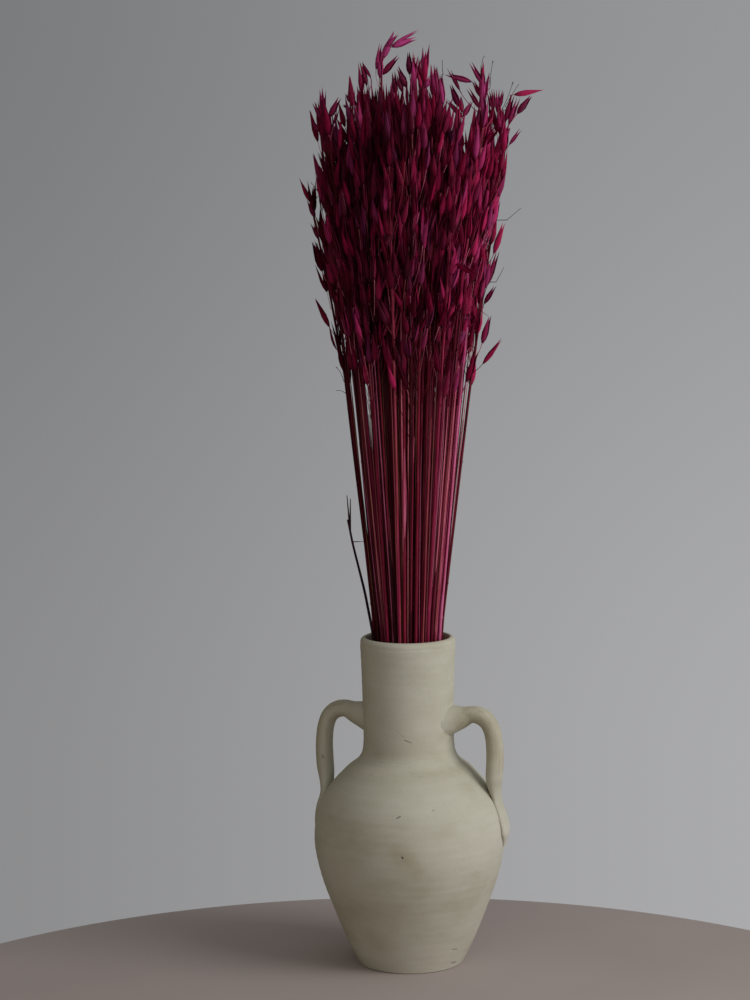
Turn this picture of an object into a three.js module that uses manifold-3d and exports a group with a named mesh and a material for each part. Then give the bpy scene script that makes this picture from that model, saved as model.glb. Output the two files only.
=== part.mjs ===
// Dried oats in a two-handled clay vase.
// Millimetres, +Z up. The origin is the centre of the vase's foot, and X runs through the two handles.
import * as THREE from "three";
import { mergeVertices } from "three/addons/utils/BufferGeometryUtils.js";
import Module from "manifold-3d";

const wasm = await Module();
wasm.setup();

// Vase
const VASE_HEIGHT = 254;
const WALL = 5;
const FLOOR = 10;
const FOOT_RADIUS = 41.5;
const BODY_RADIUS = 73.5;
const BODY_HEIGHT = 94;
const NECK_RADIUS = 34.9;
const RIM_RADIUS = 36.5;
const MOUTH_RADIUS = 31.7;
const MOUTH_FLARE = 1.2;
const CUT_ABOVE = 1;
const FOOT_CHAMFER = 1.5;
const LIP = [
  { inset: 0.8, drop: 2.6 },
  { inset: 2.6, drop: 0.4 },
  { inset: RIM_RADIUS - MOUTH_RADIUS - 1, drop: 0 },
];
const CORNER = { width: 6, height: 3 };
const OUTSIDE_SIDES = 32;
const OUTSIDE_STEPS = 17;
const INSIDE_SIDES = 24;
const INSIDE_STEPS = 10;

// Handles: a strap of oval section, flared where it joins the neck and thumbed flat onto the shoulder
const HANDLE_THICKNESS = 12.8;
const HANDLE_WIDTH = 17;
const TAIL_THICKNESS = 8;
const TAIL_WIDTH = 20;
const TAIL_DRIFT = { right: 9, left: 0 };
const HANDLE_SIDES = 8;
const HANDLE_STEPS = 12;
const ROOT_END = 0.16;
const ROOT_FLARE = { thickness: 0.75, width: 0.4 };
const TAIL_FROM = 0.6;
const TAIL_FULL = 0.75;
const TAIL_END = 0.5;

// Bunch: stalks in pairs that touch at the foot, set out like the seeds of a sunflower
const PAIRS = 56;
const BUNCH_TURN = 17;
const GOLDEN_ANGLE = Math.PI * (3 - Math.sqrt(5));
const FOOT_SPREAD = 20;
const RIM_SPREAD = 24.7;
const FAN_SLOPE = 0.095;
const FAN_CURVE = 0.00006;
const BUNCH_LEAN = 3;
const FORK_HEIGHT = 105;
const FOOT_STEP = 3;
const TOUCH = 0.6;
const PAIR_OFFSET = 2.2;
const SWAY = 14;
const HEAD_HEIGHT = 450;
const HEAD_BOTTOM = 432;
const STRAY_RINGS = [520, 575];
const STEM_SIDES = 3;
const STEM_RADIUS_FOOT = 1.5;
const STEM_RADIUS_TOP = 0.65;
const STEM_TAPER = 1.4;
const FAN_TOP = 700;
const HEIGHT_SPREAD = 30;
const LIFT = 0.3;

// Spikelets: a husk on a thin stalk, drawn as one slim spindle of true size
const HUSK_RADIUS = 3.4;
const HUSK_LENGTH = 25;
const BELLY = 0.5;
const TOP_PEDICEL = 2;
const PEDICEL = 6;
const STEEPER = 0.7;
const WHORLS_INSIDE = 3;
const WHORLS_OUTSIDE = 6.1;
const WHORL_GAP = 32;
const WHORL_START = 6;
const WHORL_JITTER = 0.6;
const FACING_OUT = 0.55;
const LEAN = { least: 9, most: 30 };
const CLEARANCE = 0.35;
const STEM_DRAWS = 40;
const HUSK_DRAWS = 16;
const REACH = 12;
const STEM_BEADS = 12;
const HUSK_BEADS = 3;
const SEED = 20;

// The bunch's skyline from the front: how far across, and how high the tallest stalks end there
const SKYLINE = [
  [-73, 642],
  [-60, 659],
  [-36, 671],
  [-20, 687],
  [-7, 674],
  [10, 682],
  [38, 665],
  [48, 632],
  [58, 668],
  [68, 668],
  [80, 650],
];

// Stalks set apart: their top, how far it bends outwards, and the outward tilt of its last husk
const STRAIGHT = { bend: 0, power: 1, nod: 0 };
const STRAYS = new Map([
  [1, { top: 693 }],
  [5, { top: 700 }],
  [6, { top: 697 }],
  [7, { top: 688 }],
  [8, { top: 714, bend: -11, power: 2, nod: -24 }],
  [25, { top: 689 }],
  [32, { top: 682 }],
  [66, { top: 679 }],
  [77, { top: 670 }],
  [85, { top: 689 }],
  [102, { top: 610, bend: 31, power: 2, nod: 12 }],
  [103, { top: 662, bend: -12, power: 2 }],
  [110, { top: 675, bend: 21, power: 6, nod: 68 }],
]);

// Husks that stand out of the lower edge, each on its own stalk
const LOOSE_HUSKS = [
  { stalk: 111, height: 461, toward: 0, lean: 55 },
  { stalk: 102, height: 487, toward: 180, lean: 36 },
];

// The broken straw leans on the rim at the bunch's left, where a splinter still points at the bunch
const STRAW_LINE = [
  [-23.4, -8, FLOOR + LIFT],
  [-26.2, -8, 200],
  [-27.4, -8, 254],
  [-34.2, -9, 290.5],
  [-43, -11, 327],
  [-46.6, -12, 346],
];
const STRAW_RADIUS = 1.5;
const STRAW_SIDES = 4;
const PRONGS = [
  [-48, -12, 364.5],
  [-45.4, -12.6, 362],
];
const PRONG_RADIUS = 1.2;
const PRONG_START = 0.2;
const SPLINTER = [-36.5, -10.5, 329];
const SPLINTER_FROM = 4;
const SPLINTER_RADIUS = 0.5;

const { degToRad, lerp, smoothstep } = THREE.MathUtils;
const UP = new THREE.Vector3(0, 0, 1);
const LEANING = new THREE.Vector3(1, 0, 0);

// Numbers from 0 to 1, the same on every run.
function seededRandom(seed) {
  let state = seed >>> 0;
  return () => {
    state = (state + 0x6d2b79f5) >>> 0;
    let t = Math.imul(state ^ (state >>> 15), state | 1);
    t ^= t + Math.imul(t ^ (t >>> 7), t | 61);
    return ((t ^ (t >>> 14)) >>> 0) / 4294967296;
  };
}

// Solids

function solidOf(positions, triangles) {
  return new wasm.Manifold(
    new wasm.Mesh({
      numProp: 3,
      vertProperties: new Float32Array(positions),
      triVerts: new Uint32Array(triangles),
    }),
  );
}

// A solid of revolution about Z. The profile's points are (radius, height), and its ends are on the axis.
function latheSolid(profile, sides) {
  const geometry = new THREE.LatheGeometry(profile, sides);
  geometry.rotateX(Math.PI / 2);
  geometry.deleteAttribute("normal");
  geometry.deleteAttribute("uv");
  const merged = mergeVertices(geometry, 1e-3);
  const triangles = [];
  for (let i = 0; i < merged.index.count; i += 3) {
    const [a, b, c] = merged.index.array.subarray(i, i + 3);
    if (a !== b && b !== c && c !== a) triangles.push(a, b, c);
  }
  return solidOf(merged.attributes.position.array, triangles);
}

// Points round an oval, right-handed about the direction along; its half-axis a points to one side.
function ring(at, along, side, a, b, count) {
  const u = side.clone().addScaledVector(along, -side.dot(along)).normalize();
  const v = new THREE.Vector3().crossVectors(along, u);
  return Array.from({ length: count }, (_, k) => {
    const angle = (2 * Math.PI * k) / count;
    return at
      .clone()
      .addScaledVector(u, a * Math.cos(angle))
      .addScaledVector(v, b * Math.sin(angle));
  });
}

// A closed solid through rings of points, from the first to the last. A ring of one point is a tip.
function loft(rings) {
  const positions = rings.flat().flatMap((p) => [p.x, p.y, p.z]);
  const triangles = [];
  let start = 0;
  for (let i = 0; i + 1 < rings.length; i++) {
    const here = rings[i].length;
    const above = rings[i + 1].length;
    const next = start + here;
    const count = Math.max(here, above);
    for (let k = 0; k < count; k++) {
      const turned = (k + 1) % count;
      if (here > 1) triangles.push(start + k, start + turned, next + (above > 1 ? turned : 0));
      if (above > 1) triangles.push(start + (here > 1 ? k : 0), next + turned, next + k);
    }
    start = next;
  }
  for (let k = 1; k + 1 < rings[0].length; k++) triangles.push(0, k + 1, k);
  for (let k = 1; k + 1 < rings.at(-1).length; k++) triangles.push(start, start + k, start + k + 1);
  return solidOf(positions, triangles);
}

// A tapered tube with a radius at each point of its line. A radius of 0 is a tip.
function tube(points, radii, side, sides) {
  const rings = points.map((at, i) => {
    if (!radii[i]) return [at];
    const before = points[Math.max(0, i - 1)];
    const after = points[Math.min(points.length - 1, i + 1)];
    return ring(at, after.clone().sub(before).normalize(), side, radii[i], radii[i], sides);
  });
  return loft(rings);
}

function meshOf(name, solid, material) {
  const { vertProperties, triVerts } = solid.getMesh();
  const geometry = new THREE.BufferGeometry();
  geometry.setAttribute("position", new THREE.BufferAttribute(vertProperties, 3));
  geometry.setIndex(new THREE.BufferAttribute(triVerts, 1));
  geometry.computeVertexNormals();
  const mesh = new THREE.Mesh(geometry, material);
  mesh.name = name;
  return mesh;
}

// Vase

const VASE_OUTLINE = new THREE.SplineCurve(
  [
    [FOOT_RADIUS, FOOT_CHAMFER],
    [49.8, 19],
    [58.7, 41],
    [68.1, 67],
    [BODY_RADIUS, BODY_HEIGHT],
    [71.2, 118],
    [63.5, 135],
    [48.8, 151.3],
    [38.7, 159.7],
    [NECK_RADIUS, 171],
    [NECK_RADIUS, 203],
    [35.6, 230],
    [RIM_RADIUS, 248],
  ].map(([radius, height]) => new THREE.Vector2(radius, height)),
);

function outerProfile() {
  return [
    new THREE.Vector2(0, 0),
    new THREE.Vector2(FOOT_RADIUS - FOOT_CHAMFER, 0),
    ...VASE_OUTLINE.getPoints(OUTSIDE_STEPS),
    ...LIP.map(({ inset, drop }) => new THREE.Vector2(RIM_RADIUS - inset, VASE_HEIGHT - drop)),
    new THREE.Vector2(0, VASE_HEIGHT),
  ];
}

// The hollow follows the outline at the wall's thickness, from the floor up through the mouth.
function hollowProfile() {
  const inside = [];
  for (let i = 0; i <= INSIDE_STEPS; i++) {
    const tangent = VASE_OUTLINE.getTangent(i / INSIDE_STEPS);
    const inwards = new THREE.Vector2(-tangent.y, tangent.x).multiplyScalar(WALL);
    const p = VASE_OUTLINE.getPoint(i / INSIDE_STEPS).add(inwards);
    if (p.y > FLOOR + CORNER.height) inside.push(p);
  }
  return [
    new THREE.Vector2(0, FLOOR),
    new THREE.Vector2(inside[0].x - CORNER.width, FLOOR),
    ...inside,
    new THREE.Vector2(MOUTH_RADIUS + MOUTH_FLARE, VASE_HEIGHT + CUT_ABOVE),
    new THREE.Vector2(0, VASE_HEIGHT + CUT_ABOVE),
  ];
}

// The strap leaves the neck, arches over and runs down onto the shoulder.
const HANDLE_LINE = new THREE.CatmullRomCurve3(
  [
    [NECK_RADIUS - 4, 189.5],
    [43, 193],
    [51, 195.6],
    [58.2, 194.2],
    [63.6, 189.6],
    [67, 181],
    [68.4, 167],
    [68, 153],
    [66.8, 140],
    [67.4, 128],
    [70.8, 117],
    [73.4, 106],
    [73.2, 93],
  ].map(([radius, height]) => new THREE.Vector3(radius, 0, height)),
);

function handleSolid(turn, tailDrift) {
  const rings = [];
  for (let i = 0; i <= HANDLE_STEPS; i++) {
    const t = i / HANDLE_STEPS;
    const root = 1 - smoothstep(t, 0, ROOT_END);
    const tail = smoothstep(t, TAIL_FROM, TAIL_FULL);
    const end = t === 1 ? TAIL_END : 1;
    const thickness = lerp(HANDLE_THICKNESS * (1 + ROOT_FLARE.thickness * root), TAIL_THICKNESS, tail) * end;
    const width = lerp(HANDLE_WIDTH * (1 + ROOT_FLARE.width * root), TAIL_WIDTH, tail) * end;
    const drift = degToRad(turn + tailDrift * tail);
    const at = HANDLE_LINE.getPoint(t).applyAxisAngle(UP, drift);
    const outwards = new THREE.Vector3(1, 0, 0).applyAxisAngle(UP, drift);
    const along = HANDLE_LINE.getTangent(t).applyAxisAngle(UP, drift).lerp(outwards, root).normalize();
    const side = new THREE.Vector3(0, 1, 0).applyAxisAngle(UP, drift);
    rings.push(ring(at, along, side, width / 2, thickness / 2, HANDLE_SIDES));
  }
  return loft(rings);
}

function vaseSolid() {
  const outside = latheSolid(outerProfile(), OUTSIDE_SIDES);
  const hollow = latheSolid(hollowProfile(), INSIDE_SIDES);
  const handles = [handleSolid(0, TAIL_DRIFT.right), handleSolid(180, TAIL_DRIFT.left)];
  return wasm.Manifold.union([outside, ...handles]).subtract(hollow);
}

// Where the bunch is

// The radius of the bunch at a height: nearly straight in the vase, opening like a fan above its rim.
function spread(height) {
  const rise = height - VASE_HEIGHT;
  if (rise < 0) return RIM_SPREAD + ((RIM_SPREAD - FOOT_SPREAD) * rise) / VASE_HEIGHT;
  return RIM_SPREAD + FAN_SLOPE * rise + FAN_CURVE * rise * rise;
}

// Everything placed so far, as tapered segments that new pieces keep clear of. A stem knows its stalk.
const placed = [];
const NOBODY = -1;

function place(points, radii, stalk) {
  for (let i = 0; i + 1 < points.length; i++) {
    placed.push({
      from: points[i],
      along: points[i + 1].clone().sub(points[i]),
      radius: radii[i],
      taper: radii[i + 1] - radii[i],
      stalk,
      low: Math.min(points[i].z, points[i + 1].z),
      high: Math.max(points[i].z, points[i + 1].z),
    });
  }
}

// Beads strung along a tapered line, as [centre, radius].
function beadsOn(points, radii, step) {
  const beads = [];
  for (let i = 0; i + 1 < points.length; i++) {
    const count = Math.ceil(points[i].distanceTo(points[i + 1]) / step);
    for (let k = 0; k <= count; k++) {
      const centre = points[i].clone().lerp(points[i + 1], k / count);
      beads.push([centre, lerp(radii[i], radii[i + 1], k / count)]);
    }
  }
  return beads;
}

// The least gap between the beads and what stands placed, other than on the stalk itself.
function roomFor(beads, stalk) {
  const offset = new THREE.Vector3();
  let least = Infinity;
  for (const { from, along, radius, taper, stalk: owner, low, high } of placed) {
    if (owner === stalk && owner !== NOBODY) continue;
    for (const [centre, bead] of beads) {
      if (centre.z < low - REACH || centre.z > high + REACH) continue;
      offset.subVectors(centre, from);
      const t = Math.min(1, Math.max(0, offset.dot(along) / along.lengthSq()));
      offset.addScaledVector(along, -t);
      least = Math.min(least, offset.length() - bead - radius - t * taper);
    }
  }
  return least;
}

// Stalks

function stemRadius(height, top) {
  const share = (height - FLOOR) / (top - FLOOR);
  return lerp(STEM_RADIUS_FOOT, STEM_RADIUS_TOP, share ** STEM_TAPER);
}

function strayOf(stalk) {
  return { ...STRAIGHT, ...STRAYS.get(stalk) };
}

// A stalk's line, from its foot on the vase's floor to the base of its last husk.
function stemLine(stalk, top, turn, sway) {
  const pair = Math.floor(stalk / 2);
  const share = Math.sqrt((pair + 0.5) / PAIRS);
  const outwards = new THREE.Vector3(1, 0, 0).applyAxisAngle(UP, pair * GOLDEN_ANGLE);
  const aside = new THREE.Vector3(1, 0, 0).applyAxisAngle(UP, turn + (stalk % 2) * Math.PI);
  const stray = strayOf(stalk);
  const neck = top - TOP_PEDICEL - HUSK_LENGTH * Math.cos(degToRad(stray.nod));
  const foot = FLOOR + LIFT + (stalk % 2) * FOOT_STEP;
  const bent = stray.bend ? STRAY_RINGS : [];
  const heights = [foot, FORK_HEIGHT, VASE_HEIGHT, HEAD_HEIGHT, ...bent, neck];
  return heights.map((height) => {
    const free = Math.max(0, (height - VASE_HEIGHT) / (FAN_TOP - VASE_HEIGHT));
    const bend = stray.bend * free ** stray.power;
    const apart = height < FORK_HEIGHT ? TOUCH : (PAIR_OFFSET * spread(height)) / RIM_SPREAD;
    return new THREE.Vector3(0, 0, height)
      .addScaledVector(outwards, spread(height) * share + bend)
      .addScaledVector(aside, apart)
      .addScaledVector(sway, free)
      .addScaledVector(LEANING, BUNCH_LEAN * (height / FAN_TOP) ** 2);
  });
}

// The last husk carries on from the stalk, tilted outwards on a stray.
function lastHusk(stalk, line) {
  const base = line.at(-1);
  const outward = Math.floor(stalk / 2) * GOLDEN_ANGLE;
  const along = new THREE.Vector3().subVectors(base, line.at(-2)).normalize();
  const nod = degToRad(strayOf(stalk).nod);
  along.applyAxisAngle(new THREE.Vector3(-Math.sin(outward), Math.cos(outward), 0), nod);
  return [BELLY, 1].map((share) => base.clone().addScaledVector(along, TOP_PEDICEL + share * HUSK_LENGTH));
}

function skyline(across) {
  const next = SKYLINE.findIndex(([x]) => x > across);
  if (next <= 0) return SKYLINE.at(next)[1];
  const [[x0, z0], [x1, z1]] = SKYLINE.slice(next - 1, next + 1);
  return lerp(z0, z1, (across - x0) / (x1 - x0));
}

function drawTop(pair, k, random) {
  const share = Math.sqrt((pair + 0.5) / PAIRS);
  const across = Math.cos(pair * GOLDEN_ANGLE) * spread(FAN_TOP) * share;
  const drawn = skyline(across) - HEIGHT_SPREAD * random();
  return STRAYS.get(2 * pair + k)?.top ?? drawn;
}

// The pairs are set from the middle out, each on the roomiest of several draws of its fork and sway.
function drawStalks(random) {
  const stalks = [];
  for (let pair = 0; pair < PAIRS; pair++) {
    const tops = [0, 1].map((k) => drawTop(pair, k, random));
    let best = { room: -Infinity };
    for (let draw = 0; draw < STEM_DRAWS; draw++) {
      const turn = Math.PI * random();
      const pieces = tops.map((top, k) => {
        const sway = new THREE.Vector3(random() - 0.5, random() - 0.5, 0).multiplyScalar(SWAY);
        const line = stemLine(2 * pair + k, top, turn, sway);
        const radii = line.map((p) => stemRadius(p.z, top));
        return { stalk: 2 * pair + k, pair, top, line, radii };
      });
      const beads = pieces.flatMap(({ stalk, line, radii }) =>
        beadsOn([...line, ...lastHusk(stalk, line)], [...radii, HUSK_RADIUS, 0], STEM_BEADS),
      );
      const room = roomFor(beads, NOBODY);
      if (room > best.room) best = { room, pieces };
    }
    for (const piece of best.pieces) {
      const { stalk, line, radii } = piece;
      place([...line, ...lastHusk(stalk, line)], [...radii, HUSK_RADIUS, 0], stalk);
      stalks.push({ ...piece, husks: [] });
    }
  }
  return stalks;
}

// Husks

function pointAt(line, height) {
  let i = 0;
  while (i < line.length - 2 && line[i + 1].z < height) i++;
  return line[i].clone().lerp(line[i + 1], (height - line[i].z) / (line[i + 1].z - line[i].z));
}

// A husk's root in the stalk, its belly and its tip. It rises more steeply past its belly.
function huskPoints(line, height, toward, lean) {
  const out = new THREE.Vector3(1, 0, 0).applyAxisAngle(UP, toward);
  const onward = (from, length, tilt) =>
    from
      .clone()
      .addScaledVector(UP, length * Math.cos(tilt))
      .addScaledVector(out, length * Math.sin(tilt));
  const root = pointAt(line, height);
  const belly = onward(root, PEDICEL + BELLY * HUSK_LENGTH, lean);
  return [root, belly, onward(belly, (1 - BELLY) * HUSK_LENGTH, STEEPER * lean)];
}

function addHusk(s, points) {
  const radii = [0, HUSK_RADIUS, 0];
  if (roomFor(beadsOn(points, radii, HUSK_BEADS), s.stalk) < CLEARANCE) return false;
  place(points, radii, NOBODY);
  s.husks.push(points);
  return true;
}

// From the outermost stalk in, each whorl gets a husk on the first draw that clears its neighbours.
function drawHusks(stalks, random) {
  for (const { stalk, height, toward, lean } of LOOSE_HUSKS) {
    const s = stalks[stalk];
    addHusk(s, huskPoints(s.line, height, degToRad(toward), degToRad(lean)));
  }
  for (const s of stalks.toReversed()) {
    const share = (s.pair + 0.5) / PAIRS;
    const whorls = Math.round(lerp(WHORLS_INSIDE, WHORLS_OUTSIDE, share));
    const outward = s.pair * GOLDEN_ANGLE;
    for (let whorl = 0; whorl < whorls; whorl++) {
      const below = WHORL_START + WHORL_GAP * (whorl + WHORL_JITTER * random());
      const height = s.top - TOP_PEDICEL - HUSK_LENGTH - below;
      if (height < HEAD_BOTTOM) continue;
      for (let draw = 0; draw < HUSK_DRAWS; draw++) {
        const toward = outward + (random() - 0.5) * 2 * Math.PI * (1 - FACING_OUT * share);
        const lean = degToRad(lerp(LEAN.least, LEAN.most, random()));
        if (addHusk(s, huskPoints(s.line, height, toward, lean))) break;
      }
    }
  }
}

function stalkSolids({ stalk, pair, line, radii, husks }) {
  const outward = pair * GOLDEN_ANGLE;
  const side = new THREE.Vector3(-Math.sin(outward), Math.cos(outward), 0);
  const stem = tube([...line, ...lastHusk(stalk, line)], [...radii, HUSK_RADIUS, 0], side, STEM_SIDES);
  const spindles = husks.map((points) => {
    const across = new THREE.Vector3().crossVectors(UP, points[2].clone().sub(points[0]));
    return tube(points, [0, HUSK_RADIUS, 0], across.normalize(), STEM_SIDES);
  });
  return [stem, ...spindles];
}

// Broken straw

function strawSolid() {
  const line = STRAW_LINE.map((p) => new THREE.Vector3(...p));
  const side = new THREE.Vector3(1, 0, 0);
  const prongs = PRONGS.map((tip) => {
    const root = line.at(-1).clone().lerp(line.at(-2), PRONG_START);
    return tube([root, new THREE.Vector3(...tip)], [PRONG_RADIUS, PRONG_RADIUS / 2], side, STRAW_SIDES);
  });
  const splinter = tube(
    [line[SPLINTER_FROM], new THREE.Vector3(...SPLINTER)],
    [SPLINTER_RADIUS, SPLINTER_RADIUS / 2],
    UP,
    STEM_SIDES,
  );
  const radii = line.map(() => STRAW_RADIUS);
  const straw = tube(line, radii, side, STRAW_SIDES);
  return wasm.Manifold.union([straw, ...prongs, splinter]);
}

// Materials and assembly

const CLAY = new THREE.MeshStandardMaterial({ color: 0xcfc8b2, roughness: 0.92, metalness: 0 });
const DYED_OAT = new THREE.MeshStandardMaterial({ color: 0x8c1147, roughness: 0.7, metalness: 0 });
const DARK_STRAW = new THREE.MeshStandardMaterial({ color: 0x3a1420, roughness: 0.8, metalness: 0 });

const object = new THREE.Group();
object.add(meshOf("vase", vaseSolid(), CLAY));

const bunch = new THREE.Group();
bunch.rotation.z = degToRad(BUNCH_TURN);
object.add(bunch);

const straw = STRAW_LINE.map((p) => new THREE.Vector3(...p));
place([...straw, new THREE.Vector3(...PRONGS[0])], [...straw, 0].map(() => STRAW_RADIUS), NOBODY);
bunch.add(meshOf("broken_straw", strawSolid(), DARK_STRAW));

const random = seededRandom(SEED);
const stalks = drawStalks(random);
drawHusks(stalks, random);
for (let pair = 0; pair < PAIRS; pair++) {
  const solids = stalks.filter((s) => s.pair === pair).flatMap(stalkSolids);
  const name = `oat_stalks_${String(pair + 1).padStart(2, "0")}`;
  bunch.add(meshOf(name, wasm.Manifold.union(solids), DYED_OAT));
}

export default object;
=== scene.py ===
import math

import bpy
import numpy as np
from mathutils import Matrix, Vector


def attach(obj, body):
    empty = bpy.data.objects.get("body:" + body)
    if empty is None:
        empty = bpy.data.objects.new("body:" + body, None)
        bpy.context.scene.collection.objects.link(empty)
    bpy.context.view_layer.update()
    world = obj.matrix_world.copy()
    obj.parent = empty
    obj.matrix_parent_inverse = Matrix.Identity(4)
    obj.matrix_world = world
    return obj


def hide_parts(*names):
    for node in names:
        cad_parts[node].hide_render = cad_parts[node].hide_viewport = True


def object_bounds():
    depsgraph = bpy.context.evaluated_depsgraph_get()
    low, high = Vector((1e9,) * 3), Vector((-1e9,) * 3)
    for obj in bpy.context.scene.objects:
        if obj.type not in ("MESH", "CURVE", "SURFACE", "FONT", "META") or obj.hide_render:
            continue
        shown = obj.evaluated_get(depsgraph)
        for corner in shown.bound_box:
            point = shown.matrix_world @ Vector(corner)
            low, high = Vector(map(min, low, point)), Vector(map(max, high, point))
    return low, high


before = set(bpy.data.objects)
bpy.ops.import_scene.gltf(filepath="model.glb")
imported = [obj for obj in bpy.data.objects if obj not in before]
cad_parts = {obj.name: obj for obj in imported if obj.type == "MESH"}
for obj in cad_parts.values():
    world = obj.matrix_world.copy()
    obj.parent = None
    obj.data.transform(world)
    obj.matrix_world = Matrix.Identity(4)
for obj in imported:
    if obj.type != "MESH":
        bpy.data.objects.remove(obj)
cad_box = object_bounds()

MM = 0.001
MASK = 0xFFFFFFFF
UP = np.array([0.0, 0.0, 1.0])

# The vase, as in the part
VASE_HEIGHT = 254
WALL = 5
FLOOR = 10
FOOT_RADIUS = 41.5
BODY_RADIUS = 73.5
BODY_HEIGHT = 94
NECK_RADIUS = 34.9
RIM_RADIUS = 36.5
MOUTH_RADIUS = 31.7
VASE_OUTLINE = [
    (FOOT_RADIUS, 1.5),
    (49.8, 19),
    (58.7, 41),
    (68.1, 67),
    (BODY_RADIUS, BODY_HEIGHT),
    (71.2, 118),
    (63.5, 135),
    (48.8, 151.3),
    (38.7, 159.7),
    (NECK_RADIUS, 171),
    (NECK_RADIUS, 203),
    (35.6, 230),
    (RIM_RADIUS, 248),
]
HANDLE_THICKNESS = 12.8
HANDLE_WIDTH = 17
TAIL_THICKNESS = 8
TAIL_WIDTH = 20
TAIL_DRIFT = {"right": 9, "left": 0}
ROOT_FLARE = {"thickness": 0.75, "width": 0.4}
HANDLE_LINE = [
    (NECK_RADIUS - 4, 189.5),
    (43, 193),
    (51, 195.6),
    (58.2, 194.2),
    (63.6, 189.6),
    (67, 181),
    (68.4, 167),
    (68, 153),
    (66.8, 140),
    (67.4, 128),
    (70.8, 117),
    (73.4, 106),
    (73.2, 93),
]

# The camera, in the bunch's own directions: across, behind and above the middle of the vase's foot
EYE = (-23.8, -1900, 576.5)
PITCH = math.radians(6.52)
ROLL = math.radians(-0.67)
FOCAL_PIXELS = 2510
FRAME_WIDTH = 750
FRAME_HEIGHT = 1000

# The bunch, as in the part
PAIRS = 56
BUNCH_TURN = math.radians(17)
GOLDEN_ANGLE = math.pi * (3 - math.sqrt(5))
FOOT_SPREAD = 20
RIM_SPREAD = 24.7
FAN_SLOPE = 0.095
FAN_CURVE = 0.00006
BUNCH_LEAN = 3
FORK_HEIGHT = 105
FOOT_STEP = 3
TOUCH = 0.6
PAIR_OFFSET = 2.2
SWAY = 14
HEAD_HEIGHT = 450
HEAD_BOTTOM = 432
STRAY_RINGS = [520, 575]
STEM_RADIUS_FOOT = 1.5
STEM_RADIUS_TOP = 0.65
STEM_TAPER = 1.4
FAN_TOP = 700
HEIGHT_SPREAD = 30
LIFT = 0.3
HUSK_RADIUS = 3.4
HUSK_LENGTH = 25
BELLY = 0.5
TOP_PEDICEL = 2
PEDICEL = 6
STEEPER = 0.7
WHORLS_INSIDE = 3
WHORLS_OUTSIDE = 6.1
WHORL_GAP = 32
WHORL_START = 6
WHORL_JITTER = 0.6
FACING_OUT = 0.55
LEAN_LEAST = 9
LEAN_MOST = 30
CLEARANCE = 0.35
STEM_DRAWS = 40
HUSK_DRAWS = 16
REACH = 12
STEM_BEADS = 12
HUSK_BEADS = 3
SEED = 20
SKYLINE = [
    (-73, 642),
    (-60, 659),
    (-36, 671),
    (-20, 687),
    (-7, 674),
    (10, 682),
    (38, 665),
    (48, 632),
    (58, 668),
    (68, 668),
    (80, 650),
]
STRAIGHT = {"bend": 0, "power": 1, "nod": 0}
STRAYS = {
    1: {"top": 693},
    5: {"top": 700},
    6: {"top": 697},
    7: {"top": 688},
    8: {"top": 714, "bend": -11, "power": 2, "nod": -24},
    25: {"top": 689},
    32: {"top": 682},
    66: {"top": 679},
    77: {"top": 670},
    85: {"top": 689},
    102: {"top": 610, "bend": 31, "power": 2, "nod": 12},
    103: {"top": 662, "bend": -12, "power": 2},
    110: {"top": 675, "bend": 21, "power": 6, "nod": 68},
}
LOOSE_HUSKS = [(111, 461, 0, 55), (102, 487, 180, 36)]
STRAW_LINE = [
    (-23.4, -8, FLOOR + LIFT),
    (-26.2, -8, 200),
    (-27.4, -8, 254),
    (-34.2, -9, 290.5),
    (-43, -11, 327),
    (-46.6, -12, 346),
]
STRAW_RADIUS = 1.5
PRONGS = [(-48, -12, 364.5), (-45.4, -12.6, 362)]
SPLINTER = (-36.5, -10.5, 329)
NOBODY = -1


def seeded_random(seed):
    """The part's own stream of numbers from 0 to 1."""
    state = seed & MASK

    def draw():
        nonlocal state
        state = (state + 0x6D2B79F5) & MASK
        t = ((state ^ (state >> 15)) * (state | 1)) & MASK
        t ^= (t + (((t ^ (t >> 7)) * (t | 61)) & MASK)) & MASK
        return (t ^ (t >> 14)) / 4294967296

    return draw


def lerp(a, b, t):
    return a + (b - a) * t


def smoothstep(x, low, high):
    t = min(1.0, max(0.0, (x - low) / (high - low)))
    return t * t * (3 - 2 * t)


def unit(v):
    return v / np.linalg.norm(v, axis=-1, keepdims=True)


def turned(angle):
    """A level direction, at an angle from X."""
    return np.array([math.cos(angle), math.sin(angle), 0.0])


def about(axis, angle, v):
    """v turned about a unit axis."""
    cross = np.cross(axis, v)
    return v * math.cos(angle) + cross * math.sin(angle) + axis * (axis @ v) * (1 - math.cos(angle))


# Where the stalks and their main husks are: the part's rule, step by step


def camera_axes(right, away):
    """The camera's right, up and forward, from the level directions to its right and ahead of it."""
    forward = away * math.cos(PITCH) - UP * math.sin(PITCH)
    level_up = away * math.sin(PITCH) + UP * math.cos(PITCH)
    across = right * math.cos(ROLL) + level_up * math.sin(ROLL)
    return across, level_up * math.cos(ROLL) - right * math.sin(ROLL), forward


def seen(pixel, depth):
    """The point that the camera sees at a pixel, at a depth behind the bunch's middle, in its directions."""
    across, up, forward = camera_axes(turned(0), turned(math.pi / 2))
    aside = across * (pixel[0] - FRAME_WIDTH / 2) + up * (FRAME_HEIGHT / 2 - pixel[1])
    ray = forward + aside / FOCAL_PIXELS
    return np.array(EYE) + ray * (depth - EYE[1]) / ray[1]


def pixel_of(place):
    """The pixel at which the camera sees a place of the bunch."""
    across, up, forward = camera_axes(turned(0), turned(math.pi / 2))
    from_eye = np.asarray(place) - EYE
    scale = FOCAL_PIXELS / (from_eye @ forward)
    return FRAME_WIDTH / 2 + scale * (from_eye @ across), FRAME_HEIGHT / 2 - scale * (from_eye @ up)


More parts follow.
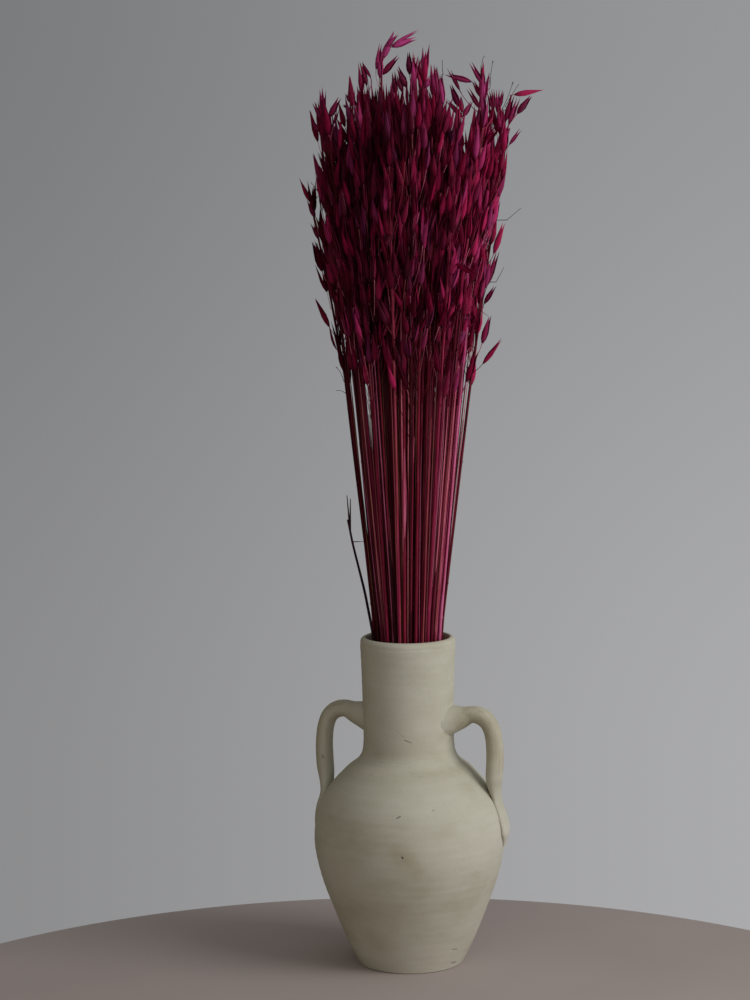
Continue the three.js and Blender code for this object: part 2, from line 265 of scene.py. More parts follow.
def spread(height):
    rise = height - VASE_HEIGHT
    if rise < 0:
        return RIM_SPREAD + (RIM_SPREAD - FOOT_SPREAD) * rise / VASE_HEIGHT
    return RIM_SPREAD + FAN_SLOPE * rise + FAN_CURVE * rise * rise


class Placed:
    """What stands so far, as tapered segments."""

    def __init__(self):
        self.rows = np.zeros((0, 12))

    def place(self, points, radii, stalk):
        p = np.asarray(points, float)
        r = np.asarray(radii, float)
        along = p[1:] - p[:-1]
        rows = np.column_stack(
            [
                p[:-1],
                along,
                (along * along).sum(1),
                r[:-1],
                r[1:] - r[:-1],
                np.minimum(p[:-1, 2], p[1:, 2]),
                np.maximum(p[:-1, 2], p[1:, 2]),
                np.full(len(along), stalk, float),
            ]
        )
        self.rows = np.vstack([self.rows, rows])

    def room(self, centres, radii, stalk):
        rows = self.rows
        near = (rows[:, 9] - REACH <= centres[:, 2].max()) & (rows[:, 10] + REACH >= centres[:, 2].min())
        if stalk != NOBODY:
            near &= rows[:, 11] != stalk
        rows = rows[near]
        if not len(rows):
            return math.inf
        offset = centres[:, None] - rows[None, :, :3]
        t = np.clip((offset * rows[None, :, 3:6]).sum(2) / rows[None, :, 6], 0, 1)
        offset = offset - t[..., None] * rows[None, :, 3:6]
        gap = np.sqrt((offset * offset).sum(2)) - radii[:, None] - rows[None, :, 7] - t * rows[None, :, 8]
        z = centres[:, None, 2]
        gap[(z < rows[None, :, 9] - REACH) | (z > rows[None, :, 10] + REACH)] = math.inf
        return gap.min()


def beads_on(points, radii, step):
    centres, sizes = [], []
    for i in range(len(points) - 1):
        count = math.ceil(np.linalg.norm(points[i + 1] - points[i]) / step)
        t = np.arange(count + 1)[:, None] / count
        centres.append(lerp(points[i], points[i + 1], t))
        sizes.append(lerp(radii[i], radii[i + 1], t[:, 0]))
    return np.vstack(centres), np.concatenate(sizes)


def stem_radius(height, top):
    share = (height - FLOOR) / (top - FLOOR)
    return lerp(STEM_RADIUS_FOOT, STEM_RADIUS_TOP, share**STEM_TAPER)


def stray_of(stalk):
    return {**STRAIGHT, **STRAYS.get(stalk, {})}


def skyline(across):
    return float(np.interp(across, *zip(*SKYLINE)))


def stem_line(stalk, top, turn, sway):
    pair = stalk // 2
    share = math.sqrt((pair + 0.5) / PAIRS)
    outwards = turned(pair * GOLDEN_ANGLE)
    aside = turned(turn + (stalk % 2) * math.pi)
    stray = stray_of(stalk)
    nod = math.radians(stray["nod"])
    neck = top - TOP_PEDICEL - HUSK_LENGTH * math.cos(nod)
    foot = FLOOR + LIFT + (stalk % 2) * FOOT_STEP
    line = []
    rings = STRAY_RINGS if stray["bend"] else []
    for height in [foot, FORK_HEIGHT, VASE_HEIGHT, HEAD_HEIGHT, *rings, neck]:
        free = max(0, (height - VASE_HEIGHT) / (FAN_TOP - VASE_HEIGHT))
        bend = stray["bend"] * free ** stray["power"]
        apart = TOUCH if height < FORK_HEIGHT else PAIR_OFFSET * spread(height) / RIM_SPREAD
        lean = np.array([BUNCH_LEAN * (height / FAN_TOP) ** 2, 0, height])
        line.append(outwards * (spread(height) * share + bend) + aside * apart + sway * free + lean)
    return np.array(line)


def last_husk(stalk, line):
    outward = stalk // 2 * GOLDEN_ANGLE
    along = unit(line[-1] - line[-2])
    nod = math.radians(stray_of(stalk)["nod"])
    along = about(np.array([-math.sin(outward), math.cos(outward), 0.0]), nod, along)
    return np.array([line[-1] + along * (TOP_PEDICEL + share * HUSK_LENGTH) for share in (BELLY, 1)])


def draw_stalks(placed, draw):
    stalks = []
    for pair in range(PAIRS):
        across = math.cos(pair * GOLDEN_ANGLE) * spread(FAN_TOP) * math.sqrt((pair + 0.5) / PAIRS)
        tops = []
        for k in range(2):
            drawn = skyline(across) - HEIGHT_SPREAD * draw()
            tops.append(STRAYS.get(2 * pair + k, {"top": drawn})["top"])
        best, room = None, -math.inf
        for _ in range(STEM_DRAWS):
            turn = math.pi * draw()
            pieces, centres, sizes = [], [], []
            for k, top in enumerate(tops):
                sway = np.array([draw() - 0.5, draw() - 0.5, 0]) * SWAY
                stalk = 2 * pair + k
                line = stem_line(stalk, top, turn, sway)
                radii = [stem_radius(p[2], top) for p in line]
                whole = np.vstack([line, last_husk(stalk, line)])
                pieces.append((stalk, top, line, whole, [*radii, HUSK_RADIUS, 0]))
                found = beads_on(whole, [*radii, HUSK_RADIUS, 0], STEM_BEADS)
                centres.append(found[0])
                sizes.append(found[1])
            here = placed.room(np.vstack(centres), np.concatenate(sizes), NOBODY)
            if here > room:
                best, room = pieces, here
        for stalk, top, line, whole, radii in best:
            placed.place(whole, radii, stalk)
            stalks.append({"stalk": stalk, "pair": pair, "top": top, "line": line, "husks": []})
    return stalks


def point_at(line, height):
    i = 0
    while i < len(line) - 2 and line[i + 1][2] < height:
        i += 1
    return lerp(line[i], line[i + 1], (height - line[i][2]) / (line[i + 1][2] - line[i][2]))


def husk_points(line, height, toward, lean):
    out = turned(toward)
    root = point_at(line, height)
    reach = PEDICEL + BELLY * HUSK_LENGTH
    belly = root + UP * reach * math.cos(lean) + out * reach * math.sin(lean)
    rest = (1 - BELLY) * HUSK_LENGTH
    tilt = STEEPER * lean
    return np.array([root, belly, belly + UP * rest * math.cos(tilt) + out * rest * math.sin(tilt)])


def add_husk(placed, s, points):
    radii = [0, HUSK_RADIUS, 0]
    if placed.room(*beads_on(points, radii, HUSK_BEADS), s["stalk"]) < CLEARANCE:
        return False
    placed.place(points, radii, NOBODY)
    s["husks"].append(points)
    return True


def draw_husks(placed, stalks, draw):
    for stalk, height, toward, lean in LOOSE_HUSKS:
        s = stalks[stalk]
        add_husk(placed, s, husk_points(s["line"], height, math.radians(toward), math.radians(lean)))
    for s in reversed(stalks):
        share = (s["pair"] + 0.5) / PAIRS
        whorls = math.floor(lerp(WHORLS_INSIDE, WHORLS_OUTSIDE, share) + 0.5)
        outward = s["pair"] * GOLDEN_ANGLE
        for whorl in range(whorls):
            below = WHORL_START + WHORL_GAP * (whorl + WHORL_JITTER * draw())
            height = s["top"] - TOP_PEDICEL - HUSK_LENGTH - below
            if height < HEAD_BOTTOM:
                continue
            for _ in range(HUSK_DRAWS):
                toward = outward + (draw() - 0.5) * 2 * math.pi * (1 - FACING_OUT * share)
                lean = math.radians(lerp(LEAN_LEAST, LEAN_MOST, draw()))
                if add_husk(placed, s, husk_points(s["line"], height, toward, lean)):
                    break


# Meshes


class Piece:
    """Points, faces and what the materials read, for one mesh."""

    def __init__(self):
        self.points, self.faces, self.slots, self.edges, self.uv, self.tint = [], [], [], [], [], []
        self.count = 0

    def add(self, points, faces, slot, uv, tint, edge=None):
        """edge is 0 for a point on no sharp edge, or the bits of the edges it is on."""
        points = np.asarray(points, float).reshape(-1, 3)
        n = len(points)
        self.points.append(points)
        self.faces.extend((np.asarray(f) + self.count).tolist() for f in faces)
        self.slots.extend([slot] * len(faces))
        self.uv.append(np.broadcast_to(uv, (n, 2)))
        self.tint.append(np.broadcast_to(tint, (n, 4)))
        self.edges.append(np.zeros(n, int) if edge is None else np.asarray(edge))
        self.count += n

    def build(self, name, materials, turn=0.0):
        points = np.vstack(self.points)
        c, s = math.cos(turn), math.sin(turn)
        points = points @ np.array([[c, s, 0], [-s, c, 0], [0, 0, 1]]) * MM
        mesh = bpy.data.meshes.new(name)
        mesh.from_pydata(points.tolist(), [], self.faces)
        for material in materials:
            mesh.materials.append(material)
        mesh.polygons.foreach_set("material_index", self.slots)
        mesh.polygons.foreach_set("use_smooth", [True] * len(mesh.polygons))
        corners = np.zeros(len(mesh.loops), int)
        mesh.loops.foreach_get("vertex_index", corners)
        layer = mesh.uv_layers.new(name="grain")
        layer.data.foreach_set("uv", np.vstack(self.uv)[corners].astype(np.float32).ravel())
        tint = mesh.color_attributes.new("tint", "FLOAT_COLOR", "POINT")
        tint.data.foreach_set("color", np.vstack(self.tint).astype(np.float32).ravel())
        bits = np.concatenate(self.edges)
        if bits.any():
            ends = np.zeros(len(mesh.edges) * 2, int)
            mesh.edges.foreach_get("vertices", ends)
            ends = ends.reshape(-1, 2)
            sharp = mesh.attributes.new("sharp_edge", "BOOLEAN", "EDGE")
            sharp.data.foreach_set("value", (bits[ends[:, 0]] & bits[ends[:, 1]]) != 0)
        mesh.update()
        piece = bpy.data.objects.new(name, mesh)
        bpy.context.scene.collection.objects.link(piece)
        return piece


def frames_along(points, hint):
    """For each point of a line: its direction, and two directions square to it."""
    along = unit(np.gradient(points, axis=0))
    side = unit(hint - along * (along @ hint)[:, None])
    return along, side, np.cross(along, side)


def tube_faces(rings, sides, first_tip=False, last_tip=False):
    """Faces of rings of points in order, closed by a tip or a flat cap at each end."""
    faces = []
    start = 1 if first_tip else 0
    for i in range(rings - 1):
        a = start + i * sides
        for k in range(sides):
            j = (k + 1) % sides
            faces.append((a + k, a + j, a + sides + j, a + sides + k))
    end = start + (rings - 1) * sides
    if first_tip:
        faces.extend((0, start + (k + 1) % sides, start + k) for k in range(sides))
    else:
        faces.append(tuple(range(sides))[::-1])
    if last_tip:
        faces.extend((end + sides, end + k, end + (k + 1) % sides) for k in range(sides))
    else:
        faces.append(tuple(end + k for k in range(sides)))
    return faces


def add_tube(piece, points, radii, sides, slot, tint, hint=(1.0, 0.03, 0.02), flat=1.0):
    points = np.asarray(points, float)
    _, side, other = frames_along(points, np.asarray(hint, float))
    angle = 2 * math.pi * np.arange(sides) / sides
    radii = np.asarray(radii, float)[:, None, None]
    ring = side[:, None] * np.cos(angle)[None, :, None]
    ring = ring + other[:, None] * (flat * np.sin(angle))[None, :, None]
    body = points[:, None] + radii * ring
    around = 1 - np.abs(2 * np.arange(sides) / sides - 1)
    gone = np.concatenate([[0], np.cumsum(np.linalg.norm(np.diff(points, axis=0), axis=1))])
    uv = np.stack(np.broadcast_arrays(around[None], gone[:, None]), 2).reshape(-1, 2)
    piece.add(body, tube_faces(len(points), sides), slot, uv, tint)


# Spikelets: two boat-shaped glumes face to face on a thin pedicel, often open at the tip

GLUME_RINGS = np.array([0.05, 0.2, 0.4, 0.63, 0.85])
GLUME_WIDTHS = np.array([0.4, 0.88, 1.0, 0.62, 0.22])
GLUME_ANGLES = np.radians([-82, -42, 0, 42, 82])
GLUME_WALL = 0.42
FLORET_RINGS = np.array([0.1, 0.42, 0.78])
FLORET_WIDTHS = np.array([0.5, 1.0, 0.42])
PEDICEL_RINGS = 6
PEDICEL_THICKNESS = (0.2, 0.34)
PALE_PEDICELS = 0.2
FLORET_SHOWS = 4
FLORET_LENGTH = 0.72
FLORET_WIDTH = 0.55
# Painted light on the spikelets: the heights, and the distances to the right, in mm, over which their colour grows
# brighter and pinker
TOP_PAINTED_LIGHT = (600, 700)
RIGHT_PAINTED_LIGHT = (0, 55)
MOST_MAGENTA = 0.65


def glume_faces():
    faces = tube_faces(len(GLUME_RINGS), len(GLUME_ANGLES) + 1, True, True)
    sides = len(GLUME_ANGLES) + 1
    ring = [1, 0, 0, 0, 2, 0]
    return faces, np.array([3] + ring * len(GLUME_RINGS) + [3]), sides


GLUME_FACES, GLUME_EDGES, GLUME_SIDES = glume_faces()


def add_glumes(piece, base, e, o, length, radius, opening, curl, tint):
    """One glume for each row: from base along e, its keel facing o, leaning out by its opening."""
    s = np.cross(e, o)
    n = len(base)
    t = GLUME_RINGS[None, :, None, None]
    lift = length[:, None, None, None] * t
    lean = np.tan(opening)[:, None, None, None] * t + curl[:, None, None, None] * t**3
    lean = length[:, None, None, None] * lean
    width = radius[:, None, None, None] * GLUME_WIDTHS[None, :, None, None]
    E, O, S = (v[:, None, None, :] for v in (e, o, s))
    centre = base[:, None, None, :] + E * lift + O * lean
    angles = GLUME_ANGLES[None, None, :, None]
    outer = centre + O * (0.78 * width * np.cos(angles)) + S * (width * np.sin(angles))
    wall = GLUME_WALL * GLUME_WIDTHS[None, :, None, None]
    inner = centre + O * (0.78 * width - wall)
    rings = np.concatenate([outer, inner], 2).reshape(n, -1, 3)
    end = (np.tan(opening) + curl) * length
    tip = base + e * length[:, None] + o * end[:, None]
    points = np.concatenate([base[:, None], rings, tip[:, None]], 1)
    across = np.tile([-1, -0.5, 0, 0.5, 1, 0], len(GLUME_RINGS))
    along = np.repeat(GLUME_RINGS, GLUME_SIDES)
    uv = np.column_stack([np.concatenate([[0], across, [0]]), np.concatenate([[0], along, [1]])])
    for i in range(n):
        piece.add(points[i], GLUME_FACES, 1, uv, tint[i], GLUME_EDGES)


def add_florets(piece, base, e, o, length, radius, tint):
    s = np.cross(e, o)
    faces = tube_faces(len(FLORET_RINGS), 4, True, True)
    for i in range(len(base)):
        rings = []
        for t, w in zip(FLORET_RINGS, FLORET_WIDTHS):
            centre = base[i] + e[i] * length[i] * t
            for k in range(4):
                a = math.pi * (0.25 + 0.5 * k)
                rings.append(centre + radius[i] * w * (o[i] * math.cos(a) + s[i] * math.sin(a)))
        points = np.array([base[i], *rings, base[i] + e[i] * length[i]])
        uv = np.column_stack([np.full(len(points), 0.2), np.linspace(0, 1, len(points))])
        piece.add(points, faces, 1, uv, tint[i])


def add_pedicel(piece, root, base, arrive, thickness, tint):
    """A thin stalk that leaves the stem steeply and bends over into the spikelet's base."""
    reach = np.linalg.norm(base - root)
    bend = base - arrive * reach * 0.45
    t = np.linspace(0, 1, PEDICEL_RINGS)[:, None]
    points = root * (1 - t) ** 2 + 2 * bend * t * (1 - t) + base * t**2
    radii = thickness * np.interp(t[:, 0], [0, 0.3, 0.85, 1], [1.25, 1, 0.9, 1.5])
    add_tube(piece, points, radii, 3, 0, tint, hint=(0.4, 1, 0.05))


# The head: the part's husks, each as a spikelet, and many more on the same stalks


EXTRA_INSIDE = 0.11
EXTRA_OUTSIDE = 0.27
PANICLE_FOOT = (438, 530)
DROOPING = 0.015
SPLAYED = 0.08
BOX_MARGIN = 0.6
HEAD_TOP = 600
LONGEST_GLUME = 1.04
SHUT = (0.5, 4)
OPEN = (4, 12)
SHUT_SHARE = 0.65
ABOVE_SKYLINE = 2

# The head's edges, as the camera sees them: pixels down and across
LEFT_EDGE = [(90, 312), (150, 311), (215, 311), (250, 318), (270, 326), (330, 331), (350, 338), (390, 346)]
RIGHT_EDGE = [(110, 509), (150, 505), (180, 507), (220, 500), (260, 499), (300, 488), (350, 481), (390, 476)]

# How much fuller than the rest some stalks are
FULLNESS = {102: 0.4, 103: 1.6, 92: 1.6, 93: 1.6, 110: 1.6, 111: 1.6, 84: 1.6, 85: 1.6}


def in_outline(points):
    """Whether the camera sees these points between the head's edges."""
    for point in points:
        across, down = pixel_of(point)
        if not np.interp(down, *zip(*LEFT_EDGE)) < across < np.interp(down, *zip(*RIGHT_EDGE)):
            return False
    return True


def in_box(points):
    """Whether points of the bunch, turned as it stands, are inside the part's box."""
    c, sn = math.cos(BUNCH_TURN), math.sin(BUNCH_TURN)
    world = np.asarray(points) @ np.array([[c, sn, 0], [-sn, c, 0], [0, 0, 1]])
    low, high = (np.array(corner) / MM for corner in cad_box)
    return bool((world > low + BOX_MARGIN).all() and (world < high - BOX_MARGIN).all())


def spikelets_of(s, rng):
    """(root, base, axis, facing, length, radius, opening, opening) of each spikelet of a stalk."""
    found = []
    line = s["line"]
    share = (s["pair"] + 0.5) / PAIRS
    outward = turned(s["pair"] * GOLDEN_ANGLE)

    def add(root, base, axis, length, wide, opening):
        facing = rng.normal(size=3)
        facing = unit(facing - axis * (facing @ axis))
        other = opening * rng.uniform(-0.2, 1)
        for _ in range(8):
            end = base + axis * length * LONGEST_GLUME
            reach = facing * length * LONGEST_GLUME
            if in_box([end + reach * (math.tan(opening) + 0.04), end - reach * (math.tan(other) + 0.04)]):
                break
            opening, other, length = opening * 0.5, other * 0.5, length * 0.98
        found.append((root, base, axis, facing, length, wide, opening, other))

    def opened():
        share_open = [SHUT_SHARE, 1 - SHUT_SHARE]
        return math.radians(rng.choice([rng.uniform(*SHUT), rng.uniform(*OPEN)], p=share_open))

    tip = last_husk(s["stalk"], line)[-1]
    axis = unit(tip - line[-1])
    add(line[-1] - axis, line[-1] + axis * TOP_PEDICEL, axis, HUSK_LENGTH, rng.uniform(2.1, 2.7), opened())
    for root, belly, end in s["husks"]:
        axis = unit(end - belly)
        base = end - axis * HUSK_LENGTH
        add(root - UP * rng.uniform(1, 8), base, axis, HUSK_LENGTH, rng.uniform(2.1, 2.8), opened())
    neck = line[-1][2]
    panicle = max(40.0, neck - rng.uniform(*PANICLE_FOOT))
    edge = s["stalk"] in FULLNESS
    count = round(lerp(EXTRA_INSIDE, EXTRA_OUTSIDE, share) * panicle * FULLNESS.get(s["stalk"], 1))
    for i in range(count):
        height = neck - panicle * ((i + rng.uniform(0, 1)) / count) ** 0.88
        for _ in range(4):
            toward = rng.uniform(0, 2 * math.pi)
            if edge and i % 2:
                toward = s["pair"] * GOLDEN_ANGLE + math.pi + rng.uniform(-1, 1)
            out = turned(toward)
            away = rng.uniform(1.5, 11 + 4 * share) * (1 - 0.4 * smoothstep(height, 610, neck))
            kind = rng.uniform()
            lean = math.radians(rng.uniform(1, 17))
            drop = rng.uniform(12, 22 if edge else 42) + 1.2 * away
            if kind < DROOPING and height < HEAD_TOP and not edge:
                lean = math.radians(rng.uniform(95, 160))
                drop = rng.uniform(-4, 12)
            elif kind < DROOPING + SPLAYED:
                lean = math.radians(rng.uniform(18, 42))
            base = point_at(line, height) + out * away + UP * rng.uniform(-2, 2)
            fan = math.radians(rng.uniform(0, 15)) * share
            axis = unit(UP * math.cos(lean) + out * math.sin(lean) + outward * math.sin(fan))
            length = rng.uniform(19, 25)
            tip = base + axis * (length + 1)
            if in_box([base, tip]) and in_outline([base, tip]) and tip[2] < skyline(tip[0]) + ABOVE_SKYLINE:
                break
        else:
            continue
        root = point_at(line, max(VASE_HEIGHT + 40, height - drop))
        add(root, base, axis, length, rng.uniform(1.65, 2.5), opened())
    return found


def smooth_line(line, step=24, window=18):
    """The stem's line with its corners rounded, as (points, heights)."""
    low, high = line[0][2], line[-1][2]
    heights = np.linspace(low, high, math.ceil((high - low) / step) + 1)
    points = []
    for h in heights:
        reach = min(window, h - low, high - h)
        around = [point_at(line, h + d) for d in np.linspace(-reach, reach, 7)]
        points.append(np.mean(around, axis=0))
    return np.array(points), heights


def add_stem(piece, s, rng):
    points, heights = smooth_line(s["line"])
    radii = np.array([stem_radius(h, s["top"]) for h in heights])
    for knot in (rng.uniform(262, 330), rng.uniform(345, 440)):
        nearest = np.argmin(np.abs(heights - knot))
        heights = np.insert(heights, nearest + 1, [heights[nearest] + d for d in (2.0, 3.2, 4.4)])
        radii = np.insert(radii, nearest + 1, [radii[nearest] * f for f in (1.0, 1.28, 1.0)])
        at = [lerp(points[nearest], points[nearest + 1], d / 24) for d in (2.0, 3.2, 4.4)]
        points = np.insert(points, nearest + 1, at, axis=0)
    add_tube(piece, points, radii, 6, 0, s["tint"])


STRANDS = 3
STRAND_FOOT = (170, 330)
STRAND_TOP = (395, 530)


def add_strands(piece, s, rng):
    """Torn leaf sheaths and side branches that follow the stem up into the head."""
    for _ in range(STRANDS):
        low, high = rng.uniform(*STRAND_FOOT), rng.uniform(*STRAND_TOP)
        out = turned(rng.uniform(0, 2 * math.pi))
        apart = rng.uniform(0.8, 4.2)
        wave = rng.uniform(0, 2 * math.pi)
        t = np.linspace(0, 1, 9)
        points = []
        for share in t:
            height = lerp(low, high, share)
            swing = 0.5 * math.sin(wave + 5 * share)
            points.append(point_at(s["line"], height) + out * (0.6 + (apart + swing) * share))
        radii = rng.uniform(0.35, 0.8) * np.interp(t, [0, 0.1, 0.7, 1], [0.5, 1, 0.8, 0.3])
        tan = rng.uniform(0.4, 1) if rng.uniform() < 0.27 else 0.0
        dye = rng.uniform(0.05, 0.85) if rng.uniform() < 0.82 else rng.uniform(0.95, 1.15)
        # Painted light: strands of stalks further to the right are dyed brighter, for the window light from the right,
        # and those to the left darker, for the shade there
        dye += 0.2 * math.tanh((point_at(s["line"], HEAD_HEIGHT)[0] - 4) / 18)
        tint = (dye, tan, rng.uniform(), 1)
        add_tube(piece, points, radii, 4, 0, tint, hint=(1, 0.4, 0.05), flat=rng.uniform(0.4, 0.9))


# Sprays that show apart, as the camera sees them: the pixels of base and tip, half the width in pixels,
# and the dye from -1, dark, to 1, pink
SPRAYS = [
    ((391, 47), (417, 38), 3.3, 1.0),
    ((393, 44), (421, 29.5), 1.6, 0.9),
    ((384, 52), (392.5, 29), 1.9, 0.5),
    ((386, 48), (399, 33), 1.9, 0.6),
    ((376, 70), (381.5, 42), 2.2, 0.4),
    ((380, 66), (385, 47), 2.0, 0.5),
    ((380, 78), (381, 58), 3.2, 0.7),
    ((382, 75), (400, 54.5), 3.2, 0.0),
    ((367, 86), (361, 60), 2.6, -0.3),
    ((371, 78), (361.5, 61), 1.5, -0.2),
    ((350, 100), (349.5, 84), 2.0, -0.2),
    ((352, 104), (345, 93), 2.0, -0.3),
    ((358, 102), (359.5, 87), 2.0, -0.2),
    ((409.8, 75), (409, 49), 3.5, -0.8),
    ((413, 85), (421, 55), 3.0, 0.2),
    ((435.5, 95), (432.5, 63), 3.0, 0.5),
    ((425, 88), (431, 76), 3.0, 0.9),
    ((396, 95), (393.5, 70), 3.0, -0.8),
    ((407, 88), (397, 65), 3.2, -0.6),
    ((402, 92), (397.5, 71), 2.6, -0.7),
    ((438, 97), (436.5, 64), 2.4, 0.3),
    ((443, 106), (442, 74), 2.6, 0.8),
    ((460, 91), (448.5, 66.5), 1.8, -0.1),
    ((472, 82), (444, 73), 3.0, 0.4),
    ((459, 107), (450.5, 83), 3.4, -0.5),
    ((463, 118), (445, 98), 2.4, 0.1),
    ((463, 117), (473, 100), 2.8, 0.2),
    ((462, 113), (461, 95), 2.4, 0.0),
    ((480, 109), (467, 85), 2.4, -0.3),
    ((481.5, 98), (472.5, 78), 2.5, -0.1),
    ((483, 85), (470, 60), 2.6, 0.3),
    ((483.5, 87), (482, 63), 2.5, -0.2),
    ((484, 118), (483, 87), 3.0, 0.8),
    ((476, 127), (481, 108), 2.7, -0.8),
    ((493, 110), (488, 89), 2.0, -0.3),
    ((494, 109), (493.5, 86), 2.0, -0.3),
    ((497, 113), (499, 86), 2.3, 0.5),
    ((499, 109), (504, 89), 2.1, -0.1),
    ((522, 84), (545.5, 88.5), 2.8, 0.7),
    ((505, 122), (514, 93), 3.0, -0.1),
    ((508.5, 125), (519, 97), 2.8, 0.3),
    ((517, 114), (533, 94), 3.4, -0.6),
    ((503, 139), (511, 127.5), 3.0, 0.2),
    ((509, 145), (522, 128.5), 1.8, 0.4),
    ((487, 286), (500, 248), 2.6, 0.1),
    ((484, 304), (497, 284), 2.6, -0.2),
    ((482, 344), (491, 314), 3.4, 0.2),
    ((322.5, 116), (321.5, 90), 1.8, -0.5),
    ((323.5, 116), (325, 89), 1.8, -0.4),
    ((329, 118), (341, 96), 3.2, -0.3),
    ((321, 119), (312.5, 100), 2.0, -0.5),
    ((318.5, 131), (311.5, 119), 2.2, -0.5),
    ((334, 124), (339, 108), 1.6, -0.6),
    ((350, 109), (341.5, 104.3), 1.6, -0.8),
    ((315, 218), (308, 199), 2.7, -0.6),
    ((319, 240), (311.5, 222), 2.0, -0.7),
    ((323, 262), (313, 240), 2.2, -0.7),
]
SPRAY_DROP = 16
SPRAY_REACH = 30
MM_PER_PIXEL = 0.765

# Bare pedicels, as the camera sees them: the pixels of foot, bend and end, and whether a knob ends them
HAIRS = [
    ((490, 88), (490.5, 72), (493, 61), True),
    ((490, 88), (490, 82), (489, 77), True),
    ((482, 66), (482, 58), (484.5, 56), True),
    ((502, 110), (508, 98), (513, 82), True),
    ((505, 107), (513, 92), (519, 84), False),
    ((443, 74), (442, 66), (442.5, 60), False),
    ((507, 220), (514, 214), (521, 208), False),
    ((496, 282), (500, 275), (504, 267), False),
    ((470, 302), (480, 310), (488, 316), False),
    ((344, 382), (341, 371), (336, 367), True),
    ((345, 393), (340, 389), (336, 391), False),
    ((412, 58), (414, 58), (416, 58.5), False),
    ((320, 194), (313, 186), (311, 182), False),
]
KNOB = 3.2
NO_KNOB = 1.2
HAIR_TINT = (0.15, 0.0, 0.5, 1)


def stalk_behind(stalks, pixel):
    """The stalk that what grows at a pixel hangs on: close beside it, high enough and rather in front."""
    height = seen(pixel, 0)[2] - SPRAY_DROP

    def unfit(s):
        at = point_at(s["line"], height)
        missing = max(0, height - s["line"][-1][2])
        return abs(seen(pixel, at[1])[0] - at[0]) + 0.12 * at[1] + missing

    return min(stalks, key=unfit)


def sprays_of(s, stalks, rng):
    """The named sprays that grow from this stalk, as spikelets, and their dyes."""
    found, dyes = [], []
    for base_pixel, tip_pixel, wide, dye in SPRAYS:
        if stalk_behind(stalks, base_pixel) is not s:
            continue
        root = point_at(s["line"], min(seen(base_pixel, 0)[2] - SPRAY_DROP, s["line"][-1][2]))
        depth = root[1]
        while depth < root[1] + SPRAY_REACH:
            if in_box([seen(base_pixel, depth), seen(tip_pixel, depth + 3)]):
                break
            depth += 2
        base = seen(base_pixel, depth)
        tip = seen(tip_pixel, depth + rng.uniform(-3, 3))
        axis = unit(tip - base)
        length = np.linalg.norm(tip - base) / LONGEST_GLUME
        if in_box([base, tip]):
            across = unit(np.cross(axis, [0, 1, 0.2]))
            facing = about(axis, math.radians(rng.uniform(25, 55)), across)
            found.append((root, base, axis, facing, length, wide * MM_PER_PIXEL, 0.08, 0.04))
            dyes.append(dye)
    return found, dyes


SHEATH_HEIGHTS = (325.0, 402.0)


def add_sheath(piece, s, rng):
    """The broad dry leaf sheath that opens at the middle of the bunch's front."""
    low, high = SHEATH_HEIGHTS
    t = np.linspace(0, 1, 12)
    heights = lerp(low, high, t)
    points = [point_at(s["line"], h) - [0.0, 0.5 + 0.5 * share, 0.0] for h, share in zip(heights, t)]
    radii = np.interp(t, [0, 0.3, 0.55, 0.8, 1], [0.5, 1.5, 1.8, 1.1, 0.3])
    add_tube(piece, points, radii, 10, 0, (0.8, 0.1, 0.9, 1), hint=(1, 0.1, 0.02), flat=0.55)


def add_hair(piece, points, knob, tint):
    """A bare pedicel whose spikelet has fallen, from the stem through its foot, with the knob it left."""
    stem, foot, bend, end = np.asarray(points, float)
    t = np.linspace(0, 1, 8)[:, None]
    line = foot * (1 - t) ** 2 + 2 * bend * t * (1 - t) + end * t**2
    radii = 0.2 * np.interp(t[:, 0], [0, 0.5, 0.86, 0.93, 1], [1.4, 1, 0.9, knob, knob * 0.7])
    add_tube(piece, np.vstack([stem, line]), np.append(0.25, radii), 4, 0, tint, hint=(1, 0.4, 0.05))


def add_hairs(piece, s, stalks):
    """The bare pedicels that grow from this stalk."""
    for *pixels, knob in HAIRS:
        if stalk_behind(stalks, pixels[0]) is s:
            foot = point_at(s["line"], min(seen(pixels[0], 0)[2], s["line"][-1][2]))
            points = [seen(pixel, foot[1]) for pixel in pixels]
            add_hair(piece, [foot, *points], KNOB if knob else NO_KNOB, HAIR_TINT)


def tints_of(base, dyes, rng):
    """Each spikelet's shade, wear and magenta, with painted light and shade: brighter and pinker toward the top and
    the right, where the light falls, and darker low on the left and in the middle, where the bunch shades itself.
    """
    count = len(base)
    high = np.array([smoothstep(z, *TOP_PAINTED_LIGHT) for z in base[:, 2]])
    # Painted light: brighter spikelets, with more contrast, toward the top, where light comes through the thin glumes
    shade = rng.normal(0.5, 0.22 + 0.08 * high, count) + 0.32 * high
    right = np.array([smoothstep(x, *RIGHT_PAINTED_LIGHT) for x in base[:, 0]])
    # Painted light and shade: brighter to the right, toward the window, and darker low on the left and in the middle,
    # in the bunch's own shade
    shade += 0.2 * right - 0.16 * (1 - right) * (1 - high)
    # Pinker toward the top and the right, with the painted light
    magenta = rng.uniform(-0.8, 0.2, count) + (0.65 * high + 0.3 * right) * rng.uniform(0, 1, count)
    magenta = np.clip(magenta, 0, MOST_MAGENTA)
    if dyes:
        shade[-len(dyes) :] = 0.6 + 0.45 * np.array(dyes)
        magenta[-len(dyes) :] = 0.1 + MOST_MAGENTA * np.clip(dyes, 0, 1)
    return np.column_stack([np.clip(shade, 0.02, 1), rng.uniform(0, 1, count), magenta, np.ones(count)])


